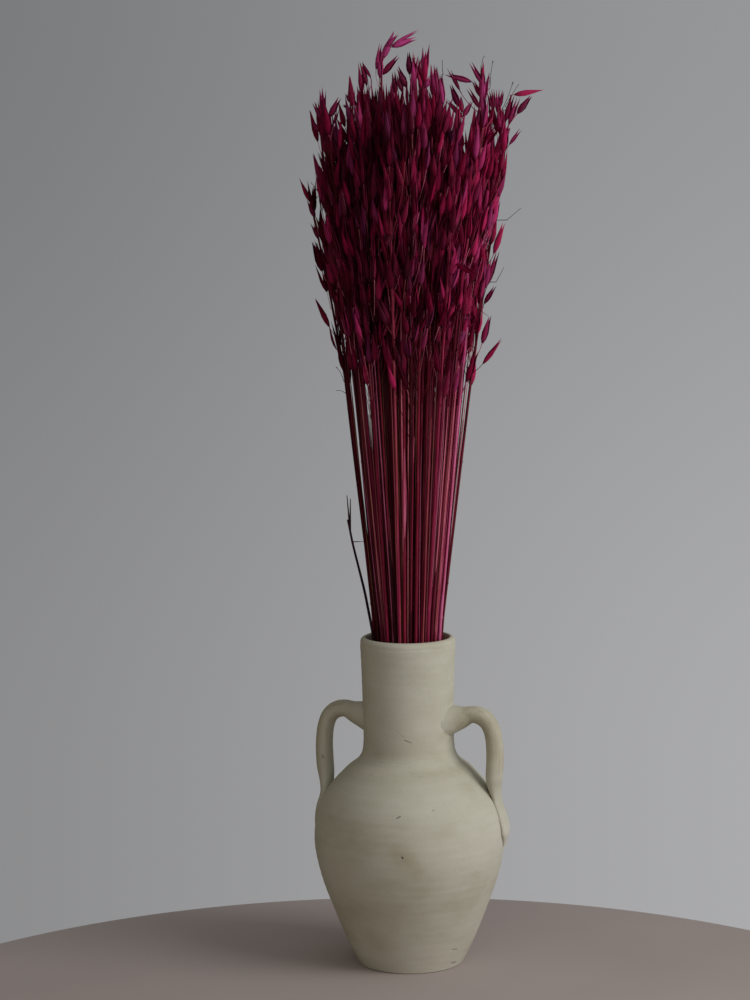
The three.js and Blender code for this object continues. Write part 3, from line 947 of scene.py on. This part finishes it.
def add_spikelets(piece, s, found, dyes, rng):
    """Two glumes on a pedicel for each spikelet, and a floret in those that are open."""
    root, base, axis, facing, length, wide, open_a, open_b = (np.array(v) for v in zip(*found))
    tint = tints_of(base, dyes, rng)
    for side, opening in ((1, open_a), (-1, open_b)):
        scale = rng.uniform(0.92, LONGEST_GLUME, len(found))
        curl = rng.uniform(-0.03, 0.05, len(found))
        add_glumes(piece, base, axis, side * facing, length * scale, wide, opening, curl, tint)
    shown = open_a > math.radians(FLORET_SHOWS)
    dark = tint[shown] * np.array([0.6, 1, 1, 1])
    long, thick = length[shown] * FLORET_LENGTH, wide[shown] * FLORET_WIDTH
    add_florets(piece, base[shown], axis[shown], facing[shown], long, thick, dark)
    for i in range(len(found)):
        pale = (rng.uniform(0.8, 1.05), 0.5, rng.uniform(), 1)
        dyed = pale if rng.uniform() < PALE_PEDICELS else s["tint"]
        arrive = base[i] + axis[i] * 0.8
        add_pedicel(piece, root[i], arrive, axis[i], rng.uniform(*PEDICEL_THICKNESS), dyed)


# Materials


class Nodes:
    """A short way to write a material's nodes."""

    def __init__(self, name):
        self.material = bpy.data.materials.new(name)
        self.material.use_nodes = True
        self.tree = self.material.node_tree
        self.shader = self.tree.nodes["Principled BSDF"]

    def node(self, kind, inputs=None, **settings):
        made = self.tree.nodes.new(kind)
        for key, value in settings.items():
            setattr(made, key, value)
        for key, value in (inputs or {}).items():
            self.set(made.inputs[key], value)
        return made

    def set(self, socket, value):
        if isinstance(value, bpy.types.NodeSocket):
            self.tree.links.new(value, socket)
        else:
            socket.default_value = value

    def math(self, operation, a, b=0.0, clamp=False):
        return self.node("ShaderNodeMath", {0: a, 1: b}, operation=operation, use_clamp=clamp).outputs[0]

    def times(self, a, b):
        return self.math("MULTIPLY", a, b)

    def plus(self, a, b, clamp=False):
        return self.math("ADD", a, b, clamp)

    def mix(self, factor, a, b, blend="MIX"):
        made = self.node("ShaderNodeMix", data_type="RGBA", blend_type=blend)
        self.set(made.inputs["Factor"], factor)
        self.set(made.inputs[6], a)
        self.set(made.inputs[7], b)
        return made.outputs[2]

    def ramp(self, factor, stops):
        made = self.node("ShaderNodeValToRGB", {"Fac": factor})
        elements = made.color_ramp.elements
        while len(elements) < len(stops):
            elements.new(0.5)
        for element, (place, colour) in zip(elements, stops):
            element.position = place
            element.color = colour if len(colour) == 4 else (*colour, 1)
        return made.outputs["Color"]

    def noise(self, vector, scale, detail=3.0, roughness=0.5):
        made = self.node(
            "ShaderNodeTexNoise", {"Vector": vector, "Scale": scale, "Detail": detail, "Roughness": roughness}
        )
        return made.outputs["Fac"]

    def bump(self, height, strength, distance, normal=None):
        inputs = {"Height": height, "Strength": strength, "Distance": distance}
        if normal is not None:
            inputs["Normal"] = normal
        return self.node("ShaderNodeBump", inputs).outputs["Normal"]

    def painted(self):
        """What each mesh carries: its tint's channels, and its grain across and along."""
        vertex_tint = self.node("ShaderNodeVertexColor", layer_name="tint").outputs[0]
        tint = self.node("ShaderNodeSeparateColor", {"Color": vertex_tint})
        grain = self.node("ShaderNodeUVMap", uv_map="grain").outputs["UV"]
        parts = self.node("ShaderNodeSeparateXYZ", {"Vector": grain})
        return tint, parts.outputs["X"], parts.outputs["Y"]

    def surface(self, colour, roughness, specular, normal=None):
        self.set(self.shader.inputs["Base Color"], colour)
        self.set(self.shader.inputs["Roughness"], roughness)
        self.set(self.shader.inputs["Specular IOR Level"], specular)
        if normal is not None:
            self.set(self.shader.inputs["Normal"], normal)
        return self.material


def husk_material():
    m = Nodes("oat_husk")
    tint, across, along = m.painted()
    object_at = m.node("ShaderNodeTexCoord").outputs["Object"]
    blotch = m.noise(object_at, 90.0, 2.0)
    # The tint's red carries each spikelet's dye together with the painted light and shade of tints_of, and its blue
    # the magenta, pinker where that painted light falls
    dye = m.plus(tint.outputs["Red"], m.times(m.math("SUBTRACT", blotch, 0.5), 0.5), clamp=True)
    colour = m.ramp(
        dye,
        [
            (0.0, (0.022, 0.0002, 0.0030)),
            (0.35, (0.085, 0.0008, 0.0130)),
            (0.7, (0.215, 0.0028, 0.0360)),
            (1.0, (0.400, 0.0140, 0.0850)),
        ],
    )
    colour = m.mix(tint.outputs["Blue"], colour, (0.52, 0.070, 0.27, 1))
    edge = m.math("ABSOLUTE", across)
    vein = m.math("SINE", m.times(across, 22.0))
    vein = m.math("POWER", m.times(m.plus(vein, 1.0), 0.5), 4.0)
    wear_and_rim_highlight = m.math("POWER", tint.outputs["Green"], 3.0)
    pale = m.times(vein, m.times(wear_and_rim_highlight, 0.4))
    colour = m.mix(pale, colour, (0.42, 0.06, 0.14, 1))
    # The paler papery rim of some glumes, with a painted highlight along it where light shows through the thin edge
    pale_rim_highlight = m.times(m.math("GREATER_THAN", edge, 0.93), m.times(wear_and_rim_highlight, 0.6))
    colour = m.mix(pale_rim_highlight, colour, (0.50, 0.12, 0.20, 1))
    root = m.times(m.math("LESS_THAN", along, 0.12), 0.4)
    colour = m.mix(root, colour, (0.05, 0.004, 0.012, 1))
    return m.surface(colour, m.plus(0.5, m.times(blotch, 0.2)), 0.06, m.bump(vein, 0.5, 0.0002))


def stem_material():
    m = Nodes("oat_stem")
    tint, across, gone = m.painted()
    along = m.plus(m.times(gone, 0.02), m.times(tint.outputs["Blue"], 40.0))
    streak_at = m.node("ShaderNodeCombineXYZ", {"X": m.times(across, 2.0), "Y": along})
    fine_at = m.node("ShaderNodeCombineXYZ", {"X": m.times(across, 9.0), "Y": along})
    streak = m.noise(streak_at.outputs[0], 1.6, 4.0, 0.6)
    # The tint's red carries each stalk's dye together with the painted light that brightens stalks to the right and
    # darkens them to the left
    dye = m.plus(tint.outputs["Red"], m.times(m.math("SUBTRACT", streak, 0.5), 0.9), clamp=True)
    colour = m.ramp(
        dye,
        [
            (0.0, (0.018, 0.0004, 0.0012)),
            (0.35, (0.088, 0.0022, 0.0090)),
            (0.7, (0.290, 0.0160, 0.0460)),
            (1.0, (0.720, 0.1900, 0.2600)),
        ],
    )
    purple = m.times(m.math("FRACT", m.times(tint.outputs["Blue"], 7.3)), 0.9)
    colour = m.mix(purple, colour, (1.0, 0.85, 1.35, 1), "MULTIPLY")
    patch = m.noise(streak_at.outputs[0], 0.7, 2.0)
    bare = m.times(tint.outputs["Green"], m.ramp(patch, [(0.42, (0, 0, 0)), (0.62, (1, 1, 1))]))
    colour = m.mix(bare, colour, (0.46, 0.165, 0.105, 1))
    fine = m.noise(fine_at.outputs[0], 2.0, 2.0)
    colour = m.mix(0.35, colour, m.ramp(fine, [(0.3, (0.45, 0.45, 0.45)), (0.7, (1, 1, 1))]), "MULTIPLY")
    return m.surface(colour, 0.5, 0.13, m.bump(fine, 0.4, 0.0002))


def straw_material():
    m = Nodes("dark_straw")
    at = m.node("ShaderNodeTexCoord").outputs["Object"]
    stretched = m.node("ShaderNodeMapping", {"Vector": at, "Scale": (900.0, 900.0, 40.0)}).outputs[0]
    streak = m.noise(stretched, 1.0, 3.0)
    stops = [(0.3, (0.008, 0.002, 0.004)), (0.6, (0.028, 0.006, 0.012)), (0.8, (0.10, 0.035, 0.038))]
    colour = m.ramp(streak, stops)
    return m.surface(colour, 0.65, 0.12, m.bump(streak, 0.5, 0.0003))


# Marks on the clay's wall, and the painted shadow in the crease beside the right strap's tail, as the camera sees
# them: the pixels from and to, radius in mm, how dark, how deep
MARKS_AND_CREASE_SHADOW = [
    ((396, 731), (403, 737), 0.4, 0.25, 0.3),
    ((404.5, 740.5), (411, 743), 0.5, 0.6, 0.8),
    ((396.5, 818.5), (400, 816.8), 0.6, 0.7, 1.0),
    ((402, 857.5), (402.4, 858.5), 0.9, 1.0, 1.0),
    ((432, 811), (434, 810), 0.8, 0.3, 0.5),
    ((452.5, 950), (456, 949.5), 1.2, 0.3, 0.5),
    ((451.5, 963), (455, 962.5), 1.3, 0.4, 0.6),
    # Painted shadow: a thin dark line in the undercut crease where the right strap's tail meets the shoulder
    ((490, 796), (496, 808), 0.8, 0.8, 1.0),
    ((496, 808), (500.3, 824), 0.8, 0.8, 1.0),
    ((500.3, 824), (502.8, 847), 0.7, 0.7, 1.0),
]
STRAP_MARK = ((-67.0, -8.4, 157.5), (-67.2, -8.4, 159.0), 1.0, 0.5, 0.6)
STAINS = [
    ((397, 852), (417, 871), 9.0, 0.38),
    ((372, 827), (357, 830), 11.0, 0.14),
    ((441, 739), (448, 732), 5.0, 0.22),
]


def on_vase(pixel):
    """The place on the vase's wall that the camera sees at a pixel, in the part's own directions."""
    outline = np.array([uniform_spline(VASE_OUTLINE, t) for t in np.linspace(0, 1, 200)])
    for depth in np.arange(-BODY_RADIUS - 1, 0, 0.1):
        place = seen(pixel, depth)
        if np.hypot(*place[:2]) <= np.interp(place[2], outline[:, 1], outline[:, 0]):
            return about(UP, BUNCH_TURN, place)
    raise ValueError(f"the vase isn't at pixel {pixel}")


def near_segment(m, at, a, b, radius, edge):
    """1 within a radius of the segment from a to b, falling to 0 over its edge share."""
    a, b = np.array(a) * MM, np.array(b) * MM
    along = b - a
    from_a = m.node("ShaderNodeVectorMath", {0: at, 1: tuple(a)}, operation="SUBTRACT").outputs[0]
    share = m.node(
        "ShaderNodeVectorMath", {0: from_a, 1: tuple(along / (along @ along))}, operation="DOT_PRODUCT"
    ).outputs["Value"]
    share = m.math("MINIMUM", m.math("MAXIMUM", share, 0.0), 1.0)
    foot = m.node("ShaderNodeVectorMath", {0: tuple(along), "Scale": share}, operation="SCALE").outputs[0]
    gap = m.node("ShaderNodeVectorMath", {0: from_a, 1: foot}, operation="DISTANCE").outputs["Value"]
    far, near = radius * MM, radius * MM * (1 - edge)
    return m.node(
        "ShaderNodeMapRange", {"Value": gap, "From Min": near, "From Max": far, "To Min": 1.0, "To Max": 0.0}
    ).outputs[0]


def clay_material():
    m = Nodes("unglazed_clay")
    at = m.node("ShaderNodeTexCoord").outputs["Object"]
    level = m.node("ShaderNodeMapping", {"Vector": at, "Scale": (1.0, 1.0, 1.9)}).outputs[0]
    cloud = m.noise(level, 13.0, 4.0, 0.55)
    stops = [(0.3, (0.45, 0.425, 0.325)), (0.5, (0.545, 0.528, 0.432)), (0.72, (0.595, 0.57, 0.485))]
    colour = m.ramp(cloud, stops)
    blotch = m.noise(level, 46.0, 3.0, 0.5)
    colour = m.mix(0.16, colour, m.ramp(blotch, [(0.35, (0.80, 0.77, 0.66)), (0.6, (1, 1, 1))]), "MULTIPLY")
    flat = m.node("ShaderNodeMapping", {"Vector": at, "Scale": (6.0, 6.0, 170.0)}).outputs[0]
    rings = m.noise(flat, 1.0, 3.0, 0.6)
    colour = m.mix(0.07, colour, m.ramp(rings, [(0.35, (0.72, 0.69, 0.60)), (0.65, (1, 1, 1))]), "MULTIPLY")
    speck = m.noise(at, 900.0, 2.0, 0.7)
    colour = m.mix(0.18, colour, m.ramp(speck, [(0.3, (0.6, 0.58, 0.52)), (0.5, (1, 1, 1))]), "MULTIPLY")

    # Brown streaks run along the straps, which stand clear of the neck
    parts = m.node("ShaderNodeSeparateXYZ", {"Vector": at})
    level_place = m.node("ShaderNodeCombineXYZ", {"X": parts.outputs["X"], "Y": parts.outputs["Y"]}).outputs[0]
    away = m.node("ShaderNodeVectorMath", {0: level_place}, operation="LENGTH").outputs["Value"]
    on_strap = m.node("ShaderNodeMapRange", {"Value": away, "From Min": 0.040, "From Max": 0.045}).outputs[0]
    high = m.node("ShaderNodeMapRange", {"Value": parts.outputs["Z"], "From Min": 0.148, "From Max": 0.158}).outputs[0]
    drawn = m.node("ShaderNodeMapping", {"Vector": at, "Scale": (90.0, 420.0, 22.0)}).outputs[0]
    streak = m.ramp(m.noise(drawn, 1.0, 3.0, 0.6), [(0.54, (0, 0, 0)), (0.68, (1, 1, 1))])
    streak = m.times(m.times(on_strap, high), m.times(streak, 0.32))
    colour = m.mix(streak, colour, (0.27, 0.205, 0.115, 1))
    # Painted shade: the straps' upper parts are multiplied darker and browner, for the shade they stand in
    strap_painted_shade = m.times(m.times(on_strap, high), 0.6)
    colour = m.mix(strap_painted_shade, colour, (0.87, 0.84, 0.76, 1), "MULTIPLY")

    for a, b, radius, weight in STAINS:
        stain = near_segment(m, at, on_vase(a), on_vase(b), radius, 1.0)
        ragged = m.times(stain, m.times(blotch, 2.0 * weight))
        colour = m.mix(ragged, colour, (0.33, 0.275, 0.165, 1))
    hollow = 0.0
    marks_and_shadow = [(on_vase(a), on_vase(b), *rest) for a, b, *rest in MARKS_AND_CREASE_SHADOW]
    # Scratches, pits and chips darken the colour and dent the wall, and so does the painted shadow in the crease
    for a, b, radius, dark, deep in [*marks_and_shadow, STRAP_MARK]:
        mark_and_shadow = near_segment(m, at, a, b, radius, 0.7)
        colour = m.mix(m.times(mark_and_shadow, dark), colour, (0.10, 0.082, 0.055, 1))
        hollow = m.plus(hollow, m.times(mark_and_shadow, deep))
    grit = m.bump(speck, 0.35, 0.0003)
    thrown = m.bump(rings, 0.17, 0.0005, grit)
    return m.surface(colour, 0.88, 0.25, m.bump(m.times(hollow, -1.0), 0.8, 0.0006, thrown))


def cloth_material():
    m = Nodes("table_top")
    at = m.node("ShaderNodeTexCoord").outputs["Object"]
    cloud = m.noise(at, 3.0, 3.0)
    colour = m.ramp(cloud, [(0.3, (0.40, 0.345, 0.325)), (0.7, (0.46, 0.40, 0.375))])
    return m.surface(colour, 0.95, 0.1)


# The vase


def uniform_spline(points, t):
    """A Catmull-Rom curve through points, at t from 0 to 1."""
    points = np.asarray(points, float)
    place = (len(points) - 1) * t
    i = min(int(place), len(points) - 2)
    w = place - i
    p0, p1, p2, p3 = (points[min(max(i + d, 0), len(points) - 1)] for d in (-1, 0, 1, 2))
    v0, v1 = (p2 - p0) / 2, (p3 - p1) / 2
    return (2 * p1 - 2 * p2 + v0 + v1) * w**3 + (-3 * p1 + 3 * p2 - 2 * v0 - v1) * w**2 + v0 * w + p1


def centripetal_spline(points, t):
    """A centripetal Catmull-Rom curve through points, at t from 0 to 1."""
    points = np.asarray(points, float)
    place = (len(points) - 1) * t
    i = min(int(place), len(points) - 2)
    w = place - i
    p1, p2 = points[i], points[i + 1]
    p0 = points[i - 1] if i else 2 * points[0] - points[1]
    p3 = points[i + 2] if i + 2 < len(points) else 2 * points[-1] - points[-2]
    d0, d1, d2 = (math.sqrt(np.linalg.norm(b - a)) for a, b in ((p0, p1), (p1, p2), (p2, p3)))
    v0 = ((p1 - p0) / d0 - (p2 - p0) / (d0 + d1) + (p2 - p1) / d1) * d1
    v1 = ((p2 - p1) / d1 - (p3 - p1) / (d1 + d2) + (p3 - p2) / d2) * d1
    return (2 * p1 - 2 * p2 + v0 + v1) * w**3 + (-3 * p1 + 3 * p2 - 2 * v0 - v1) * w**2 + v0 * w + p1


def outer_profile(steps):
    curve = [uniform_spline(VASE_OUTLINE, t) for t in np.linspace(0, 1, steps)]
    lip = [
        (RIM_RADIUS - 0.35, VASE_HEIGHT - 5.6),
        (RIM_RADIUS - 0.2, VASE_HEIGHT - 4.4),
        (RIM_RADIUS - 0.1, VASE_HEIGHT - 3.2),
        (RIM_RADIUS - 0.6, VASE_HEIGHT - 1.8),
        (RIM_RADIUS - 1.6, VASE_HEIGHT - 0.7),
        (RIM_RADIUS - 2.8, VASE_HEIGHT - 0.15),
        (MOUTH_RADIUS + 1.2, VASE_HEIGHT),
        (MOUTH_RADIUS + 0.4, VASE_HEIGHT - 0.5),
        (MOUTH_RADIUS, VASE_HEIGHT - 1.5),
    ]
    foot = [(FOOT_RADIUS - 1.6, 0.0), (FOOT_RADIUS - 0.6, 0.35), (FOOT_RADIUS - 0.1, 1.0)]
    return foot, curve, lip


def inner_profile(steps):
    inside = []
    for t in np.linspace(0, 1, steps):
        near = uniform_spline(VASE_OUTLINE, min(1, t + 1e-3)) - uniform_spline(VASE_OUTLINE, max(0, t - 1e-3))
        tangent = near / np.linalg.norm(near)
        p = uniform_spline(VASE_OUTLINE, t) + np.array([-tangent[1], tangent[0]]) * WALL
        if p[1] > FLOOR + 4:
            inside.append(p)
    return inside


GROOVES = (66.5, 71.2, 137.0)


def wobble(angle, height):
    """How far the thrower's hand left the wall off true, in mm."""
    rings = 0.05 * math.sin(height * 0.93 + 0.6 * math.sin(angle + 1))
    rings += 0.03 * math.sin(height * 2.1 + 2 * math.sin(angle))
    lumps = 0.16 * math.sin(2 * angle + height * 0.031 + 1) + 0.10 * math.sin(3 * angle - height * 0.05 + 2)
    grooves = sum(0.09 * math.exp(-(((height - at) / 0.9) ** 2)) for at in GROOVES)
    return rings + lumps - grooves


VASE_SIDES = 144


def vase_body():
    foot, curve, lip = outer_profile(190)
    inside = inner_profile(60)[::-1]
    floor = [(inside[-1][0] - 3, FLOOR + 1), (inside[-1][0] - 6, FLOOR)]
    profile = [*foot, *curve, *lip, *inside, *floor]
    rings = []
    for i, (radius, height) in enumerate(profile):
        rough = len(foot) <= i < len(foot) + len(curve)
        for k in range(VASE_SIDES):
            angle = 2 * math.pi * k / VASE_SIDES
            r = radius + (wobble(angle, height) * smoothstep(height, 1.5, 12) if rough else 0)
            rings.append((r * math.cos(angle), r * math.sin(angle), height))
    faces = []
    for i in range(len(profile) - 1):
        a, b = i * VASE_SIDES, (i + 1) * VASE_SIDES
        for k in range(VASE_SIDES):
            j = (k + 1) % VASE_SIDES
            faces.append((a + k, a + j, b + j, b + k))
    last = (len(profile) - 1) * VASE_SIDES
    faces.append(tuple(range(VASE_SIDES))[::-1])
    faces.append(tuple(last + k for k in range(VASE_SIDES)))
    return np.array(rings), faces


HANDLE_RINGS = 72
HANDLE_SIDES = 28
FILLET = 10
FILLET_CURVE = 1.6
TAIL_LAP = 1.3
ROOT_SHARE = 0.16
TAIL_SHARES = (0.6, 0.75)


def handle(turn, drift_tail):
    """The strap, as closed rings: flared over the neck, and thumbed down onto the shoulder."""
    line = [(r, 0.0, z) for r, z in HANDLE_LINE]
    points = []
    for i in range(HANDLE_RINGS + 1):
        t = i / HANDLE_RINGS
        root = 1 - smoothstep(t, 0, ROOT_SHARE)
        tail = smoothstep(t, *TAIL_SHARES)
        end = 1 - 0.5 * smoothstep(t, 0.93 if drift_tail else 0.8, 1)
        thick = lerp(HANDLE_THICKNESS * (1 + ROOT_FLARE["thickness"] * root), TAIL_THICKNESS, tail) * end / 2
        wide = lerp(HANDLE_WIDTH * (1 + ROOT_FLARE["width"] * root), TAIL_WIDTH, tail) * end / 2
        drift = math.radians(turn + drift_tail * tail)
        at = centripetal_spline(line, t)
        fillet = max(0.0, 1 - (at[0] - line[0][0]) / FILLET) ** FILLET_CURVE
        thick, wide = thick * (1 + 0.12 * fillet), wide * (1 + 0.35 * fillet)
        near = centripetal_spline(line, min(1, t + 1e-3)) - centripetal_spline(line, max(0, t - 1e-3))
        along = about(UP, drift, unit(lerp(unit(near), np.array([1.0, 0.0, 0.0]), root)))
        at = about(UP, drift, at)
        side = about(UP, drift, np.array([0.0, 1.0, 0.0]))
        other = np.cross(along, side)
        for k in range(HANDLE_SIDES):
            a = 2 * math.pi * k / HANDLE_SIDES
            ridge = 1 + 0.03 * math.sin(3 * a + 5 * t) + 0.02 * math.sin(21 * t + 2 * a)
            lap = lerp(1, TAIL_LAP, tail) if drift_tail and math.cos(a) < 0 else 1
            points.append(at + side * (wide * lap * math.cos(a) * ridge) + other * (thick * math.sin(a) * ridge))
    return np.array(points), tube_faces(HANDLE_RINGS + 1, HANDLE_SIDES)


def solid(name, points, faces):
    mesh = bpy.data.meshes.new(name)
    mesh.from_pydata((np.asarray(points) * MM).tolist(), [], faces)
    mesh.update()
    made = bpy.data.objects.new(name, mesh)
    bpy.context.scene.collection.objects.link(made)
    return made


def make_vase(material):
    body = solid("clay_vase", *vase_body())
    for turn, drift in ((0, TAIL_DRIFT["right"]), (180, TAIL_DRIFT["left"])):
        strap = solid("strap", *handle(turn, drift))
        hollow = solid("hollow_keep", *mouth_plug())
        cut(strap, hollow, "DIFFERENCE")
        cut(body, strap, "UNION")
    body.data.materials.append(material)
    body.data.polygons.foreach_set("use_smooth", [True] * len(body.data.polygons))
    body.data.set_sharp_from_angle(angle=math.radians(50))
    return body


def mouth_plug():
    """The neck's hollow, which the straps' roots stay out of."""
    sides, radius, heights = 48, 30.6, (150, 230)
    rings = []
    for height in heights:
        for k in range(sides):
            a = 2 * math.pi * k / sides
            rings.append((radius * math.cos(a), radius * math.sin(a), height))
    return np.array(rings), tube_faces(len(heights), sides)


def cut(target, tool, operation):
    modifier = target.modifiers.new("join", "BOOLEAN")
    modifier.operation = operation
    modifier.object = tool
    modifier.solver = "EXACT"
    depsgraph = bpy.context.evaluated_depsgraph_get()
    mesh = bpy.data.meshes.new_from_object(target.evaluated_get(depsgraph))
    target.modifiers.clear()
    old = target.data
    target.data = mesh
    bpy.data.meshes.remove(old)
    spare = tool.data
    bpy.data.objects.remove(tool)
    bpy.data.meshes.remove(spare)


# Putting it together

HUSK = husk_material()
STEM = stem_material()
draw = seeded_random(SEED)
placed = Placed()
straw_line = np.array(STRAW_LINE, float)
placed.place(np.vstack([straw_line, PRONGS[0]]), [STRAW_RADIUS] * (len(straw_line) + 1), NOBODY)
stalks = draw_stalks(placed, draw)
draw_husks(placed, stalks, draw)

rng = np.random.default_rng(5)
for s in stalks:
    tan = rng.uniform(0.3, 1) if rng.uniform() < 0.15 else 0.0
    # Painted light: stalks further to the right get a brighter dye, for the window light from the right, and those to
    # the left a darker one, for the shade there; their stems and pedicels carry it
    across = point_at(s["line"], HEAD_HEIGHT)[0]
    s["tint"] = (rng.uniform(0.12, 0.78) + 0.22 * math.tanh((across - 4) / 18), tan, rng.uniform(), 1)


def from_front(s):
    at = point_at(s["line"], SHEATH_HEIGHTS[1])
    return at[1] + 4 * abs(at[0])


front = min(stalks, key=from_front)
for pair in range(PAIRS):
    piece = Piece()
    for s in (s for s in stalks if s["pair"] == pair):
        add_stem(piece, s, rng)
        add_strands(piece, s, rng)
        found = spikelets_of(s, rng)
        named, dyes = sprays_of(s, stalks, rng)
        found += named
        if s is front:
            add_sheath(piece, s, rng)
        add_hairs(piece, s, stalks)
        add_spikelets(piece, s, found, dyes, rng)
    name = f"oat_stalks_{pair + 1:02d}"
    made = piece.build(f"dried_oats_{pair + 1:02d}", [STEM, HUSK], BUNCH_TURN)
    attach(made, "root")
    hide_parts(name)

STRAW_SHIFT = 1.5
PRONG_SHIFT = 3
SPLINTER_SHIFT = 4
straw = Piece()
heights = np.linspace(STRAW_LINE[0][2], STRAW_LINE[-1][2], 40)
shaft = np.array([point_at(straw_line, h) for h in heights])
shaft[:, 0] += STRAW_SHIFT * np.clip((shaft[:, 2] - FLOOR) / (VASE_HEIGHT - FLOOR), 0, None)
add_tube(straw, shaft, np.interp(heights, [200, 270, 340], [STRAW_RADIUS, 1.05, 0.8]), 8, 0, (0, 0, 0, 1))
for tip in PRONGS:
    start = shaft[-2]
    t = np.linspace(0, 1, 6)[:, None]
    end = np.array(tip) + [PRONG_SHIFT, 0, 0]
    add_tube(straw, lerp(start, end, t), lerp(0.8, 0.3, t[:, 0]), 6, 0, (0, 0, 0, 1))
start = shaft[np.argmin(np.abs(heights - STRAW_LINE[4][2]))]
t = np.linspace(0, 1, 5)[:, None]
end = np.array(SPLINTER) + [SPLINTER_SHIFT, 0, 0]
add_tube(straw, lerp(start, end, t), lerp(0.45, 0.15, t[:, 0]), 5, 0, (0, 0, 0, 1), hint=(0, 0, 1))
broken = straw.build("snapped_straw", [straw_material()], BUNCH_TURN)
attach(broken, "root")
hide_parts("broken_straw")

vase = make_vase(clay_material())
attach(vase, "root")
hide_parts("vase")

# Stage, light and camera, in the photograph's own directions
RIGHT = turned(BUNCH_TURN)
AWAY = turned(BUNCH_TURN + math.pi / 2)
TABLE_RADIUS = 450
TABLE_THICKNESS = 30
TABLE_CENTRE = RIGHT * -20 + AWAY * -270


def table():
    """A round top with an eased edge."""
    r, low = TABLE_RADIUS, -TABLE_THICKNESS
    profile = [(r - 4, 0.0), (r - 1, -1.2), (r, -4), (r, low)]
    sides = 160
    points = [TABLE_CENTRE]
    for radius, height in profile:
        for k in range(sides):
            points.append(TABLE_CENTRE + turned(2 * math.pi * k / sides) * radius + UP * height)
    points.append(TABLE_CENTRE + UP * low)
    faces = [(0, 1 + k, 1 + (k + 1) % sides) for k in range(sides)]
    for i in range(len(profile) - 1):
        a, b = 1 + i * sides, 1 + (i + 1) * sides
        faces.extend((a + k, b + k, b + (k + 1) % sides, a + (k + 1) % sides) for k in range(sides))
    last = 1 + (len(profile) - 1) * sides
    faces.extend((last + k, len(points) - 1, last + (k + 1) % sides) for k in range(sides))
    made = solid("table_top", points, faces)
    made.data.materials.append(cloth_material())
    return made


table()


def posed(axes, place):
    """A matrix with these three axes, at a place in mm."""
    rows = [[*(float(a[i]) for a in axes), float(place[i]) * MM] for i in range(3)]
    return Matrix([*rows, [0, 0, 0, 1]])


def area_light(name, place, aim, wide, high, watts, colour):
    lamp = bpy.data.lights.new(name, "AREA")
    lamp.shape = "RECTANGLE"
    lamp.size = wide
    lamp.size_y = high
    lamp.energy = watts
    lamp.color = colour
    made = bpy.data.objects.new(name, lamp)
    bpy.context.scene.collection.objects.link(made)
    z = unit(np.asarray(place, float) - np.asarray(aim, float))
    x = unit(np.cross(UP, z))
    y = np.cross(z, x)
    made.matrix_world = posed((x, y, z), place)
    return made


area_light("window", RIGHT * 1300 - AWAY * 700 + UP * 900, UP * 350, 0.9, 1.3, 15.5, (1.0, 0.985, 0.98))
area_light("fill", RIGHT * -700 - AWAY * 1700 + UP * 1000, UP * 250, 1.6, 1.6, 4.4, (1.0, 0.95, 0.87))

world = bpy.data.worlds.new("room")
world.use_nodes = True
bpy.context.scene.world = world
tree = world.node_tree
coordinate = tree.nodes.new("ShaderNodeTexCoord").outputs["Generated"]


def swept(axis, start, end):
    """From 0 to 1 as the direction looked in turns toward an axis."""
    dot = tree.nodes.new("ShaderNodeVectorMath")
    dot.operation = "DOT_PRODUCT"
    dot.inputs[1].default_value = tuple(axis)
    tree.links.new(coordinate, dot.inputs[0])
    sweep = tree.nodes.new("ShaderNodeMapRange")
    sweep.interpolation_type = "SMOOTHSTEP"
    sweep.inputs["From Min"].default_value = start
    sweep.inputs["From Max"].default_value = end
    tree.links.new(dot.outputs["Value"], sweep.inputs["Value"])
    return sweep.outputs["Result"]


def mixed(factor, a, b, blend="MIX"):
    made = tree.nodes.new("ShaderNodeMix")
    made.data_type = "RGBA"
    made.blend_type = blend
    for socket, value in ((made.inputs["Factor"], factor), (made.inputs[6], a), (made.inputs[7], b)):
        if isinstance(value, bpy.types.NodeSocket):
            tree.links.new(value, socket)
        else:
            socket.default_value = value
    return made.outputs[2]


wall = mixed(swept(RIGHT, -0.24, 0.22), (0.184, 0.186, 0.191, 1), (0.312, 0.315, 0.324, 1))
low = mixed(swept(UP, 0.09, -0.22), (1, 1, 1, 1), (1.33, 1.32, 1.31, 1))
room = mixed(1.0, wall, low, "MULTIPLY")
shaded = mixed(swept(RIGHT, -0.28, -0.75), room, (0.094, 0.076, 0.042, 1))
tree.links.new(shaded, tree.nodes["Background"].inputs["Color"])
tree.nodes["Background"].inputs["Strength"].default_value = 1.0

camera_x, camera_y, forward = camera_axes(RIGHT, AWAY)
lens = bpy.data.cameras.new("camera")
lens.sensor_width = 36
lens.lens = 36 * FOCAL_PIXELS / FRAME_HEIGHT
lens.clip_start = 0.05
lens.clip_end = 30
camera = bpy.data.objects.new("camera", lens)
bpy.context.scene.collection.objects.link(camera)
camera.matrix_world = posed((camera_x, camera_y, -forward), RIGHT * EYE[0] + AWAY * EYE[1] + UP * EYE[2])
bpy.context.scene.camera = camera
bpy.context.scene.view_settings.view_transform = "Standard"
